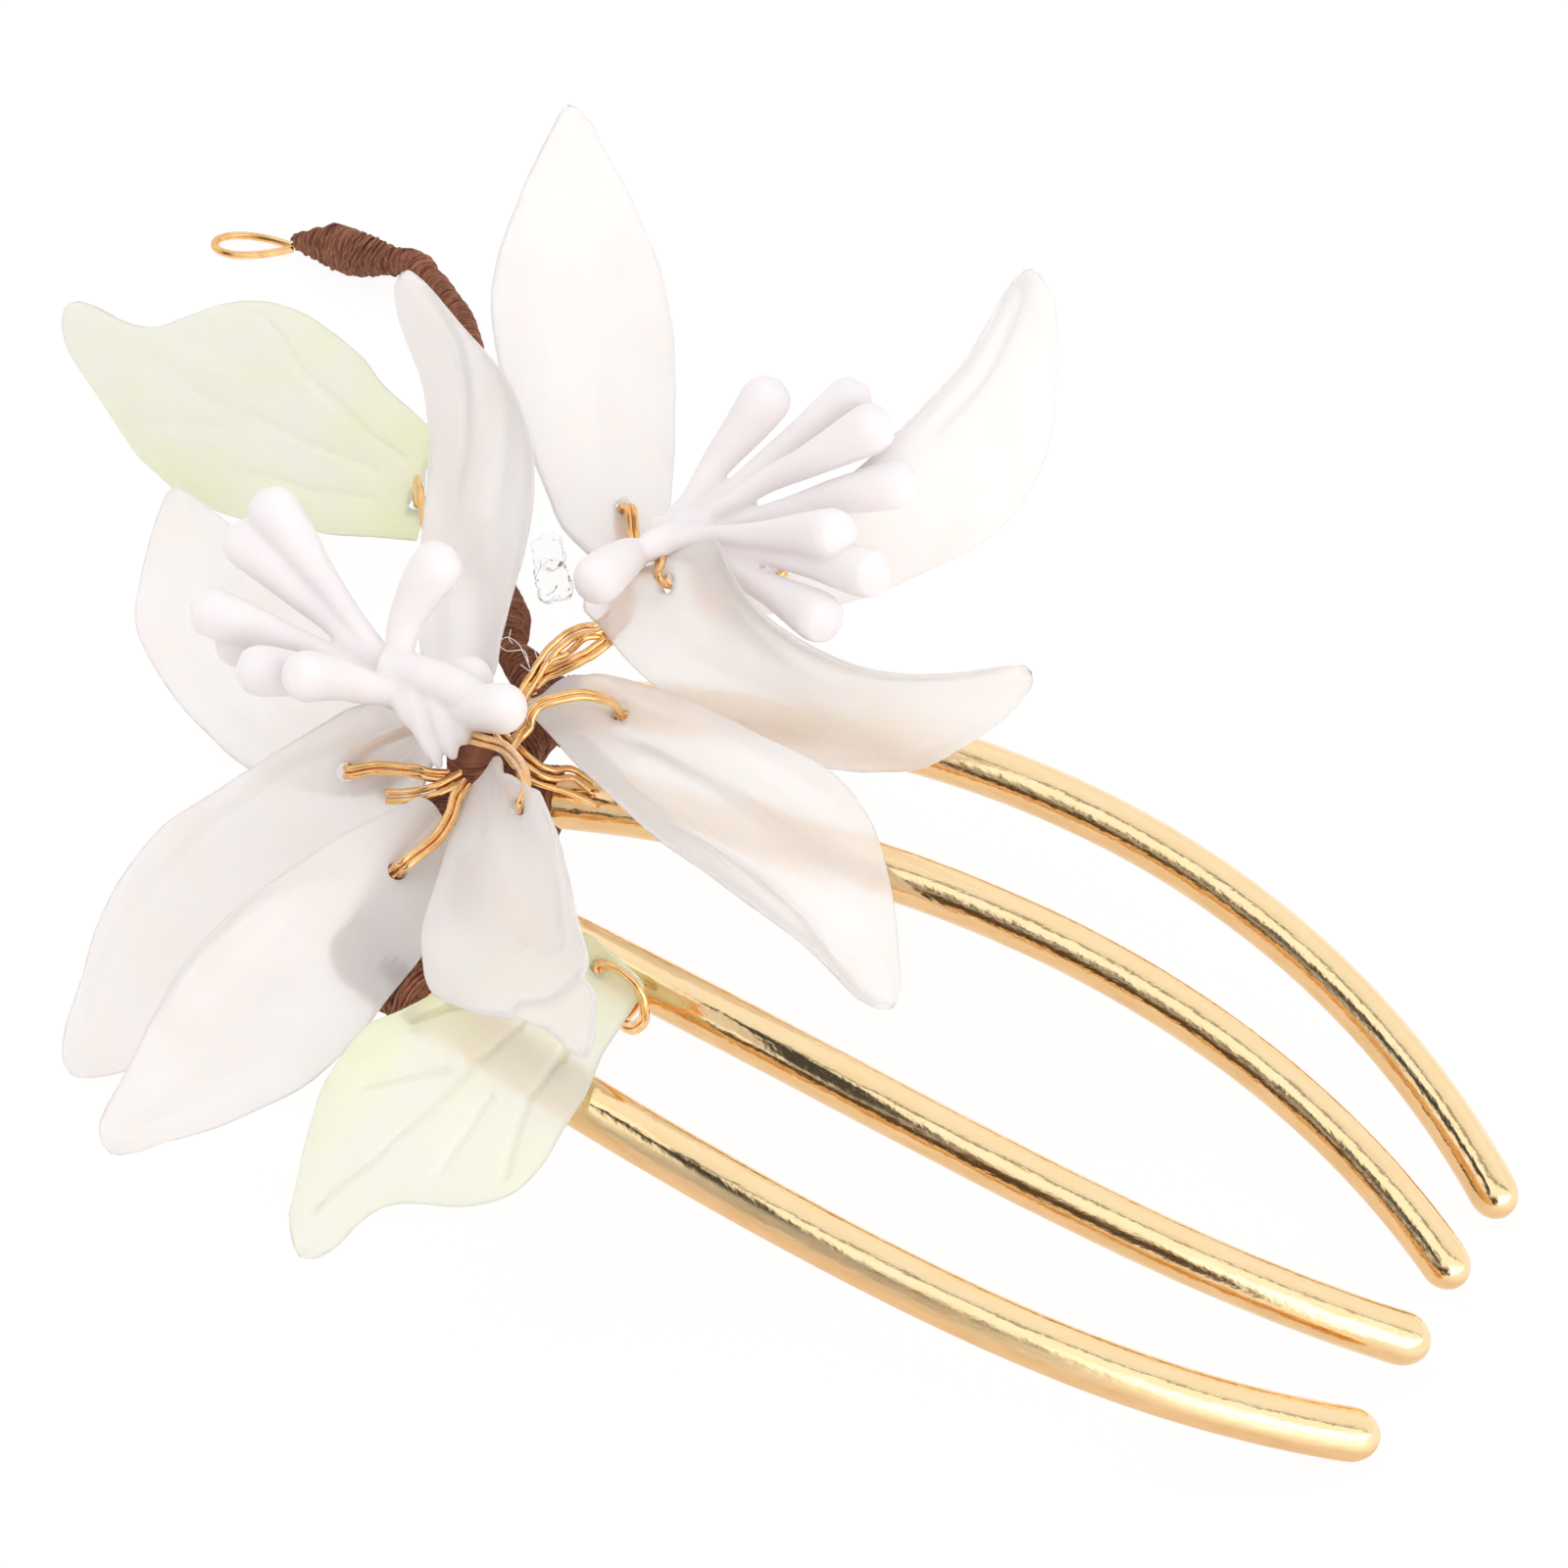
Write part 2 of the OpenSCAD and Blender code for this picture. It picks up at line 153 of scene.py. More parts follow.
TABLE_HALF = 6                                # metres
floor_mesh = bpy.data.meshes.new("table")
bm = bmesh.new()
bmesh.ops.create_grid(bm, x_segments=1, y_segments=1, size=TABLE_HALF)
bm.to_mesh(floor_mesh)
bm.free()
table = bpy.data.objects.new("table", floor_mesh)
scene.collection.objects.link(table)
board, tree, shader = new_finish("white_board")
plug(tree, shader, {"Base Color": (0.08, 0.08, 0.08, 1), "Roughness": 0.9, "Specular IOR Level": 0.1,
                    "Emission Color": (1, 0.995, 0.99, 1), "Emission Strength": 0.93})
floor_mesh.materials.append(board)

# ---------------------------------------------------------------------------
# Comb
# One bar and four bowed round tines, cast in one piece, polished and plated
# a pale gold. The surface waves a little, as castings do.
# ---------------------------------------------------------------------------
MM = 0.001
SHIFT = Vector((-11.58, -12.16, -0.17))       # from the comb's own frame to the shared one
# Bows of the outer and the inner tines, from the bar to the tip: half the distance between the pair, and height
OUTER_HALF = (11.5, 19.5, 20.5, 22.5, 10.5)
INNER_HALF = (3.5, 8, 9, 11.5, 3)
OUTER_HIGH = (13.7, 16.5, 15.5, 10, 1.25)
INNER_HIGH = (13.7, 16.5, 15.5, 11.5, 2.5)
COMB_LONG, TINE_WIDE, TIP_WIDE, BAR_WIDE, BAR_HIGH = 68, 3.5, 3.1, 3.4, 13.7
TO_BALL = 0.988                               # where a tine's round end starts, as a share of COMB_LONG
TINE_STEPS = 110
APART = 100                                   # each tine is laid out this much further on, for a pattern of its own


def ramp_up(value, low, high):
    """0 below low, 1 above high, smooth between."""
    t = min(1, max(0, (value - low) / (high - low)))
    return t * t * (3 - 2 * t)


def bow(c, t):
    """A smooth curve through the first and last of five numbers, drawn towards the others."""
    return sum(math.comb(4, i) * t ** i * (1 - t) ** (4 - i) * c[i] for i in range(5))


def tine_at(t, side, outer):
    return Vector((COMB_LONG * t, side * bow(OUTER_HALF if outer else INNER_HALF, t),
                   bow(OUTER_HIGH if outer else INNER_HIGH, t)))


def heading(line, i):
    return (line[min(i + 1, len(line) - 1)] - line[max(i - 1, 0)]).normalized()


def carried(line, first):
    """A sideways direction at each point of a line, carried along without spinning."""
    way = Vector(first)
    out = []
    for i in range(len(line)):
        d = heading(line, i)
        way = (way - d * way.dot(d)).normalized()
        out.append(way)
    return out


def skin(bm, rings, marks):
    """Closed skin over rings of points, from a grid rolled up. marks are the same points laid out straight, in mm."""
    n, m = len(rings), len(rings[0])
    layer = bm.verts.layers.float_vector.get("straight") or bm.verts.layers.float_vector.new("straight")
    grid = bmesh.ops.create_grid(bm, x_segments=m, y_segments=n - 1, size=0.5)["verts"]
    for k, v in enumerate(grid):
        i, j = divmod(k, m + 1)
        v.co = (rings[i][j % m] + SHIFT) * MM
        v[layer] = marks[i][j % m]
    bmesh.ops.remove_doubles(bm, verts=grid, dist=1e-7)
    ends = {e for v in grid if v.is_valid for e in v.link_edges if e.is_boundary}
    bmesh.ops.holes_fill(bm, edges=list(ends), sides=0)


def run_of(line):
    """How far along a line each of its points is."""
    far = [0.0]
    for a, b in zip(line, line[1:]):
        far.append(far[-1] + (b - a).length)
    return far


def tube(bm, line, radius, sides, first=(0, 0, 1), start=0.0):
    """A round bar along a line. radius is one number, or one for each point, or a function of place and angle."""
    side, far = carried(line, first), run_of(line)
    rings, marks = [], []
    for i, p in enumerate(line):
        u = side[i]
        w = heading(line, i).cross(u)
        ring, mark = [], []
        for k in range(sides):
            a = (k + 0.5) * 2 * math.pi / sides
            r = radius(i, a) if callable(radius) else radius[i] if hasattr(radius, "__len__") else radius
            ring.append(p + (w * math.cos(a) + u * math.sin(a)) * r)
            mark.append(Vector((start + far[i], math.cos(a) * r, math.sin(a) * r)))
        rings.append(ring)
        marks.append(mark)
    skin(bm, rings, marks)


def through(points, steps):
    """A smooth line through a few points."""
    p = [Vector(q) for q in points]
    out = []
    for i in range(len(p) - 1):
        a, b, c, d = p[max(i - 1, 0)], p[i], p[i + 1], p[min(i + 2, len(p) - 1)]
        for k in range(steps):
            t = k / steps
            out.append(0.5 * (2 * b + (c - a) * t + (2 * a - 5 * b + 4 * c - d) * t * t
                              + (3 * b - a - 3 * c + d) * t ** 3))
    return out + [p[-1]]


def piece(name, bm, finish, slot, *stands_for):
    """Makes the mesh a piece of the object, smooth, facing outwards, riding on the comb."""
    bmesh.ops.recalc_face_normals(bm, faces=bm.faces[:])
    mesh = bpy.data.meshes.new(name)
    bm.to_mesh(mesh)
    bm.free()
    mesh.polygons.foreach_set("use_smooth", [True] * len(mesh.polygons))
    mesh.materials.append(finish)
    made = bpy.data.objects.new(name, mesh)
    scene.collection.objects.link(made)
    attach(made, "root")
    if stands_for:
        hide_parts(*stands_for)
    return made


def straight(tree, scale=(1, 1, 1)):
    """Coordinates along and round a piece, in mm, before it was bent."""
    mark = node(tree, "ShaderNodeAttribute", {}, attribute_name="straight")
    return node(tree, "ShaderNodeMapping", {"Vector": mark.outputs["Vector"], "Scale": scale}).outputs["Vector"]


def speckle(tree, at, scale, detail, rough=0.5):
    """A random pattern between 0 and 1."""
    return node(tree, "ShaderNodeTexNoise", {"Vector": at, "Scale": scale, "Detail": detail,
                                             "Roughness": rough}).outputs["Fac"]


def bumps(tree, shader, *layers):
    """Stacks bump layers, each (height output, how deep in mm, strength)."""
    last = None
    for out, deep, strength in layers:
        b = node(tree, "ShaderNodeBump", {"Height": out, "Distance": deep * MM, "Strength": strength})
        if last:
            tree.links.new(last, b.inputs["Normal"])
        last = b.outputs["Normal"]
    tree.links.new(last, shader.inputs["Normal"])


plate, tree, shader = new_finish("pale_gold_plate")
waves = speckle(tree, straight(tree, (0.35, 1.1, 1.1)), 1.0, 3.0, 0.55)
pits = speckle(tree, straight(tree, (1.2, 3, 3)), 2.6, 4.0)
hairs = speckle(tree, straight(tree, (0.6, 14, 14)), 1.5, 3.0)
hammered = speckle(tree, straight(tree, (1.1, 1.8, 1.8)), 1.0, 2.0)
# Painted shade: the gold is deeper below, on the underside of each tine, where less light falls
upper_tone = ramp(tree, waves, (0.3, (1.0, 0.735, 0.41)), (0.7, (1.0, 0.78, 0.47)))
painted_shade_tone = ramp(tree, waves, (0.3, (0.78, 0.49, 0.225)), (0.7, (0.88, 0.575, 0.295)))
laid_out = node(tree, "ShaderNodeSeparateXYZ", {0: straight(tree)}).outputs
# Painted shade: the plain gold above blends into the deeper, shaded gold below
gold = blend(tree, spread(tree, laid_out["Z"], 0.45, 0.95), painted_shade_tone, upper_tone)
# The last tine of the four is worn to a satin below
last_one = spread(tree, laid_out["X"], 3 * APART - 10, 3 * APART)
satin = maths(tree, "MULTIPLY", last_one, spread(tree, laid_out["Z"], 1.4, 1.05, 0.0, 0.3))
dull = maths(tree, "ADD", spread(tree, pits, 0.0, 1.0, 0.06, 0.17), satin)
plug(tree, shader, {"Metallic": 1, "Base Color": gold, "Roughness": dull})
bumps(tree, shader, (waves, 0.06, 0.6), (hammered, 0.045, 0.6), (pits, 0.012, 0.5), (hairs, 0.004, 0.4))

bm = bmesh.new()
for side in (-1, 1):
    for outer in (False, True):
        seed = Vector((side * 7.3, 3.1 if outer else 11.7, 0))
        mid = [tine_at(TO_BALL * (i / TINE_STEPS) ** 0.95, side, outer) for i in range(TINE_STEPS + 1)]
        if side < 0 and outer:                # one tip is bent up a little
            mid = [p + Vector((0, 0, 0.3 * (i / TINE_STEPS) ** 4)) for i, p in enumerate(mid)]
        level = side < 0 and not outer        # one tine is ground a little flat on top
        end = heading(mid, TINE_STEPS)
        ball = TIP_WIDE / 2 * (1.1 if side < 0 else 1)
        round_off = (0.2, 0.38, 0.55, 0.7, 0.82, 0.91, 0.965, 0.99)
        line = mid + [mid[-1] + end * ball * 1.15 * k for k in round_off]
        base = [TINE_WIDE / 2 + (ball - TINE_WIDE / 2) * min(1, i / TINE_STEPS) for i in range(len(line))]
        for k, near_end in zip(range(-len(round_off), 0), round_off):
            base[k] *= math.sqrt(1 - near_end ** 2)

        def cast(i, a):
            """The tine's radius: faint flats and waves, as a casting has, and the ground top."""
            place = Vector((i * 0.09, math.cos(a) * 0.6, math.sin(a) * 0.6)) + seed
            flats = 0.012 * math.cos(5 * a + 0.4 * noise.noise(place * 0.5))
            ground = level * ramp_up(i, 16, 26) * ramp_up(-i, -60, -48)
            off = min(0.2, abs(a - 0.9))
            uneven = 1 + flats * 0.6 + 0.012 * noise.noise(place)
            return base[i] * uneven * (1 - ground * (1 - math.cos(0.2) / math.cos(off)))

        tube(bm, line, cast, 60, start=APART * (outer + 2 * (side < 0)))
bar_line = [Vector((0, y, BAR_HIGH)) for y in (-12.2, -12, -11.6, -6, 0, 6, 11.6, 12, 12.2)]
tube(bm, bar_line, [BAR_WIDE / 2 * k for k in (0.5, 0.8, 1, 1, 1, 1, 1, 0.8, 0.5)], 32)
piece("cast_comb", bm, plate, "gold", "comb")

# ---------------------------------------------------------------------------
# Thread on the bar
# Brown floss wound tightly over the bar and over the first millimetres of
# each tine. It holds the flowers' wires to the comb.
# ---------------------------------------------------------------------------
WRAP_WIDE = 4.4
CORE, WOUND = WRAP_WIDE / 2 - 0.14, WRAP_WIDE / 2 - 0.07      # radii of the filling and of a strand's middle
STRAND_SIDES, TURN_STEPS = 6, 16
# Side, whether it is the outer tine, and how far the thread covers its root
ROOT_COVER = ((1, True, 2.9), (1, False, 5.2), (-1, False, 5.0), (-1, True, 6.8))

floss, tree, shader = new_finish("brown_floss")
fibres = speckle(tree, straight(tree, (1.6, 9, 9)), 2.2, 5.0, 0.65)
patches = speckle(tree, straight(tree), 0.35, 3.0)
between = maths(tree, "MULTIPLY", maths(tree, "ADD", fibres, patches), 0.5)
brown = ramp(tree, between, (0.38, (0.07, 0.022, 0.013)), (0.49, (0.23, 0.08, 0.044)), (0.6, (0.45, 0.18, 0.098)))
plug(tree, shader, {"Base Color": brown, "Roughness": 0.82, "Sheen Weight": 0.15, "Sheen Roughness": 0.4,
                    "Sheen Tint": (0.95, 0.6, 0.42, 1)})
bumps(tree, shader, (fibres, 0.08, 0.9))


def wind(bm, line, radius, pitch, strand, seed, lean=0.0, first=(0, 0, 1)):
    """Winds one strand round a line. radius is one for each point; lean tips the turns to and fro."""
    dice = random.Random(seed)
    side, far = carried(line, first), run_of(line)
    path, spot, angle, i = [], 0.0, dice.random() * 6, 0
    pace, tip = pitch, lean
    while spot < far[-1]:
        while i < len(far) - 2 and far[i + 1] < spot:
            i += 1
        t = (spot - far[i]) / max(1e-6, far[i + 1] - far[i])
        d = heading(line, i)
        u = side[i].lerp(side[i + 1], t).normalized()
        w = d.cross(u)
        r = radius[i] * (1 - t) + radius[i + 1] * t
        r *= 1 + 0.05 * noise.noise(Vector((spot * 1.3, math.cos(angle), math.sin(angle) + seed)))
        path.append(line[i].lerp(line[i + 1], t) + d * (tip * r * math.sin(angle))
                    + (w * math.cos(angle) + u * math.sin(angle)) * r)
        angle += 2 * math.pi / TURN_STEPS
        spot += pace / TURN_STEPS
        if dice.random() < 1 / TURN_STEPS:
            pace = pitch * dice.uniform(0.75, 1.3)
            tip = lean * dice.uniform(0.4, 1.5)
    tube(bm, path, [strand * (1 + 0.18 * noise.noise(Vector((k * 0.11, seed, 0)))) for k in range(len(path))],
         STRAND_SIDES, first=(0.3, 0.5, 0.8))


bm = bmesh.new()
bar_line = [Vector((0, k * 0.5, BAR_HIGH)) for k in range(-25, 26)]
tube(bm, bar_line, CORE, 32)
for layer, (pitch, lean) in enumerate(((0.42, 0.05), (1.15, 0.35))):
    wind(bm, bar_line, [WOUND + 0.07 * layer] * len(bar_line), pitch, 0.17, 5 + layer, lean)
for n, (side, outer, long) in enumerate(ROOT_COVER):
    a, b = tine_at(0, side, outer), tine_at(0.08, side, outer)
    root = [a + (b - a).normalized() * long * k / 12 for k in range(13)]
    tube(bm, root, CORE, 32)
    wind(bm, root, [WOUND] * len(root), 0.4, 0.17, 20 + n, 0.12)
    wind(bm, root, [WOUND + 0.06] * len(root), 0.95, 0.16, 30 + n, -0.3)
piece("bar_thread", bm, floss, "thread", "bar_wrap")

# ---------------------------------------------------------------------------
# Twig and its loop
# A wire wound with the same floss, from the far end of the bar out to a
# thick knot. The bare wire comes out of the knot as a small flat eye.
# ---------------------------------------------------------------------------
TWIG_WIDE = 1.5
# x, y, z and width, as a multiple of TWIG_WIDE
TWIG = (
    (1.2, 10, 16.7, 1.1), (0.2, 11, 17.1, 1.5), (-1, 12.1, 17, 1.6), (-2.3, 13, 16.7, 1.15), (-3.1, 14.3, 16.3, 1.5),
    (-4.1, 16.6, 15.6, 1.5), (-6.6, 20.3, 13.5, 1.15), (-10.2, 24.6, 12, 1), (-13.9, 30.4, 10.5, 1),
    (-17.6, 37.8, 8.5, 1), (-21.2, 44.4, 6.5, 1), (-24, 48.5, 5.4, 0.85), (-26, 50.5, 4.6, 0.85),
    (-27.9, 52.3, 3.8, 0.9), (-29.2, 53.3, 3.2, 0.95), (-30.2, 54.1, 2.7, 1.3), (-31.1, 54.5, 2.4, 1.35),
    (-31.9, 54.6, 2.3, 1.05), (-32.7, 54.5, 2.2, 1.25), (-33.7, 54.4, 2.1, 1.5), (-34.8, 54.3, 2, 1.85),
    (-36, 54.3, 1.9, 2.05), (-37, 54.3, 1.85, 1.8), (-38, 54.3, 1.6, 1.4), (-39, 54.3, 1.3, 1.0),
    (-40, 54.3, 1.1, 0.55),
)
KNOT_X = -29.6                                # the knot is all of the twig beyond this
EYE_FOOT, EYE_LONG, EYE_HALF = Vector((-39.8, 54.3, 0.55)), 5.6, 1.25

bm = bmesh.new()
twig_line = through([p[:3] for p in TWIG], 8)
twig_size = [v.x * TWIG_WIDE / 2 for v in through([(p[3], 0, 0) for p in TWIG], 8)]
tube(bm, twig_line, [max(0.2, r - 0.12) for r in twig_size], 20)
wind(bm, twig_line, [r - 0.07 for r in twig_size], 0.34, 0.14, 51, 0.15)
wind(bm, twig_line, [r - 0.02 for r in twig_size], 1.3, 0.13, 52, 0.5)
knot = [(p, r) for p, r in zip(twig_line, twig_size) if p.x < KNOT_X]
for n, lean in enumerate((0.5, -0.55, 0.25, -0.3)):
    wind(bm, [p for p, r in knot], [r - 0.05 + 0.015 * n for p, r in knot], 0.7, 0.11, 60 + n, lean)
piece("wound_twig", bm, floss, "thread", "twig")

# Stray fibres that cling to the thread
fluff, tree, shader = new_finish("white_fibre")
thin = speckle(tree, straight(tree), 3.0, 2.0)
plug(tree, shader, {"Base Color": ramp(tree, thin, (0.3, (0.85, 0.8, 0.78)), (0.7, (0.95, 0.92, 0.9))),
                    "Roughness": 0.7})
bumps(tree, shader, (thin, 0.02, 0.3))
bm = bmesh.new()
for stray in (((-3, 12.1, 17.9), (-2.5, 12.8, 18.3), (-1.4, 12.3, 18.7), (-0.6, 11.6, 18.7), (0.2, 10.8, 18.6)),
              ((-0.2, 12.3, 18.6), (0.4, 11.4, 18.7), (0.3, 10.7, 18.5), (-0.5, 10.9, 18.5)),
              ((-2.7, 12.2, 18), (-1.8, 11.6, 18.5), (-0.8, 11.9, 18.7), (-0.1, 11.2, 18.6)),
              ((-2.9, 14.2, 17.5), (-2.5, 13.2, 17.8), (-1.9, 12.5, 18.3))):
    tube(bm, through(stray, 8), 0.035, 6)
piece("loose_fibre", bm, fluff, "thread")

wire_finish, tree, shader = new_finish("copper_gold_wire")
streaks = speckle(tree, straight(tree, (0.5, 9, 9)), 2.0, 3.0)
worn = speckle(tree, straight(tree), 1.1, 2.0)
plug(tree, shader, {"Base Color": ramp(tree, worn, (0.35, (0.87, 0.5, 0.2)), (0.65, (0.98, 0.65, 0.31))),
                    "Metallic": 1, "Roughness": spread(tree, streaks, 0.0, 1.0, 0.08, 0.22)})
bumps(tree, shader, (streaks, 0.01, 0.5))

bm = bmesh.new()
# The eye is shaped like a drop, and both its ends go into the knot
out = Vector((-5.1, -2.1, 0)).normalized()
across = Vector((-out.y, out.x, 0))
eye = [EYE_FOOT + out * (0.1 + EYE_LONG * (1 - math.cos(a)) / 2)
       + across * EYE_HALF * math.sin(a) * math.sqrt((1 - math.cos(a)) / 2)
       for a in [math.radians(24 + k * 6.638) for k in range(48)]]
tube(bm, eye, 0.27, 14)
piece("twig_eye", bm, wire_finish, "copper_wire", "twig_loop")

# ---------------------------------------------------------------------------
# Posts of the flowers
# The six-petal flower sits on a short post wound with floss and ringed with
# wire. The three-petal flower sits on its own wires, twisted into one stem.
# ---------------------------------------------------------------------------
bm = bmesh.new()
post = [Vector((0, 3.2, 16.2 + 0.1 * k)) for k in range(24)]
tube(bm, post, [1.45] * 24, 24, first=(1, 0, 0))
wind(bm, post, [1.5] * 24, 0.36, 0.16, 71, 0.1, first=(1, 0, 0))
piece("left_post", bm, floss, "thread", "left_stem")

WIRE, WIRE_SIDES = 0.45, 10


def wire_pair(bm, line, first, gap=WIRE / 2):
    """Two wires side by side along a line."""
    side = carried(line, first)
    for way in (-1, 1):
        strand = [p + heading(line, i).cross(side[i]) * way * gap * (1 + 0.06 * math.sin(i * 0.7 + way))
                  for i, p in enumerate(line)]
        tube(bm, strand, WIRE / 2, WIRE_SIDES, first=first)


bm = bmesh.new()
wire_pair(bm, through([(0.6, 5.2, 18.9), (1.4, 4.5, 19.0), (2.9, 3.8, 18.8), (4.2, 3.5, 18.4), (5.3, 3.8, 17.9),
                       (6.2, 4.7, 17.5), (7.6, 4.8, 16.8)], 8), (0, 0, 1), 0.3)
for ends in (((0.8, 4.4, 18.4), (3, 3.1, 18.2), (4.6, 2.9, 17.7), (6.6, 3.6, 17), (8.2, 4, 16.2)),
             ((3.3, 1.7, 20.6), (3.1, 3.3, 20.3), (2.7, 4.8, 19.6), (1.6, 5.8, 18.6)),
             ((-3.6, -1.7, 17.4), (-2, -1.5, 18), (-0.6, -0.8, 18.5), (0.4, 0.9, 18.6)),
             ((-3.3, -2.2, 17.2), (-1.8, -1.9, 17.7), (-0.4, -1.2, 18.2), (0.8, 0.7, 18.2))):
    tube(bm, through(ends, 8), WIRE / 2, WIRE_SIDES)
piece("left_post_wire", bm, wire_finish, "copper_wire")

bm = bmesh.new()
upper = ((0.4, 8.6, 16.9), (0.4, 9.8, 17.6), (0.6, 10.7, 18.2), (0.8, 11.8, 18.8), (1.3, 13.0, 19.4),
         (2.1, 13.9, 19.9), (3.2, 14.6, 20.1), (3.6, 16.2, 20.1), (3.1, 18.2, 19.8), (2.2, 19.5, 18.9))
lower = ((0.6, 8.6, 16.8), (0.7, 9.9, 17.3), (0.9, 10.8, 17.9), (1.6, 11.5, 18.3), (2.5, 12.2, 18.8),
         (3.3, 13.1, 19.2), (4.0, 14.4, 19.6), (4.2, 16.2, 19.7), (3.6, 18.4, 19.4), (2.6, 19.6, 18.6))
wire_pair(bm, through(upper, 9), (0, 0, 1), 0.26)
wire_pair(bm, through(lower, 9), (0, 0.3, 1), 0.24)
# One more wire snakes between the two pairs
tube(bm, through([(Vector(a) + Vector(b)) / 2 + Vector((0, 0.15, 0.25 if k % 2 else -0.2))
                  for k, (a, b) in enumerate(zip(upper, lower))], 9), WIRE / 2, WIRE_SIDES)
for n in range(3):                            # the wires' ends are wound round the top of the stem
    tilt = Matrix.Rotation(n * 1.1, 3, "X") @ Matrix.Rotation(n * 0.8, 3, "Y")
    turn = [Vector((0.78 * math.cos(k * 0.3), 0.78 * math.sin(k * 0.3), 0.16 * (k / 20 - 1))) for k in range(43)]
    tube(bm, [Vector((2, 19.5, 18.2)) + tilt @ v for v in turn], 0.22, 8)
piece("right_twist", bm, wire_finish, "copper_wire", "right_stem")

# ---------------------------------------------------------------------------
# Petals
# Milky shell-like petals, nine from one mould, each heated and bent by hand:
# frosted, a little see-through, with soft folds and a small drilled hole.
# ---------------------------------------------------------------------------
PETAL_THICK, RIM_THICK, HOLE_WIDE = 0.9, 0.45, 1.3
NEAR_HALF = 5                                 # about half a petal's width near its hole
BLADE_STEPS, PETAL_ROWS, PETAL_AROUND = 24, 110, 92
# Where each hole is: share of length and mm across. The others are at (0.15, 0)
HOLES = {"left_1": (0.1, 0), "left_3": (0.18, -1.0), "left_4": (0.165, 0), "left_5": (0.345, 3.5),
         "left_6": (0.165, 1.7), "right_3": (0.165, 1.75)}
# Width, way and the wires' distance, for the one hole that is narrower and drilled aslant
ASLANT = {"left_5": (1.0, -camera_ahead, 0.9)}
# How the wires come from the flower's middle to the hole
WIRE_WAYS = {
    "left_3": ((-0.2, 0.4, 18.4), (-1.4, -0.2, 18.6), (-2.3, -0.3, 18.6), (-3.5, -0.4, 18.3), (-4.8, -0.5, 17.9)),
    "left_4": ((1.6, -0.6, 19.6), (1.8, -1.8, 20.2), (1.9, -2.8, 20.3), (2.3, -4.3, 20.3), (2.2, -6.3, 20.1)),
    "left_5": ((0.5, 1.8, 21), (2.1, 0.7, 22.4), (4.2, -0.7, 24.2), (6.9, -3.8, 27.2), (8.7, -6.3, 29.2),
               (9.3, -7.3, 29.3)),
    "left_6": ((2.6, 3.9, 19.6), (3.1, 4.8, 20.2), (3.1, 5.2, 20.8), (3.3, 5.9, 21.2), (4.0, 6.5, 21.5),
               (5.1, 7.5, 21.5), (6.0, 8.2, 21.2)),
    "right_3": ((4.3, 19.8, 23.6), (5.1, 19, 24), (6, 17.8, 24.3)),
}
# Half widths at the base of two petals that are narrower there, and how far one is turned at its base, in degrees
BASES = {"right_3": (0.9, 2.2), "left_5": (0.9, 2.4)}
BASE_TURN = {"right_3": -52}
# x, y, z, heading, rise, roll, length, bend at the base, bend, sway, twist, cup
PETALS = {
    "left_1": (-2.3, 4.9, 18.3, 100, 12, -43, 32.5, 4, 64, 8, -19, 0.06),
    "left_2": (-5, 1.1, 14.6, 147, -19, 1, 32.5, 8, 29, -6, 11, -0.05),
    "left_3": (-4, 4.1, 18.3, 243, -26.2, -31, 32, -4, -17, 1, 2, 0.32),
    "left_4": (1.3, -3.2, 18.5, 270, 14, -31, 32.4, -77, -7, -3, 0, 0.44),
    "left_5": (3, 0.5, 20.9, 297, 18, 64, 32, -5, -22, 4, -19, 0.33),
    "left_6": (1.5, 9.6, 17.7, 344.5, 8, -6, 32.7, -2, -43, -4, -5, 0.35),
    "right_1": (3.3, 19.5, 20.2, 127, 16, 23, 32.3, 4, 24, 6, -5, 0.17),
    "right_2": (8.2, 20.3, 20.5, 39.6, 13.9, 102.3, 32.8, -10, -66.8, 9.9, -24.3, 0.22),
    "right_3": (1.5, 17.5, 21.4, 345, 5, 89, 32, 5, -53, 7, 18, 0.14),
}
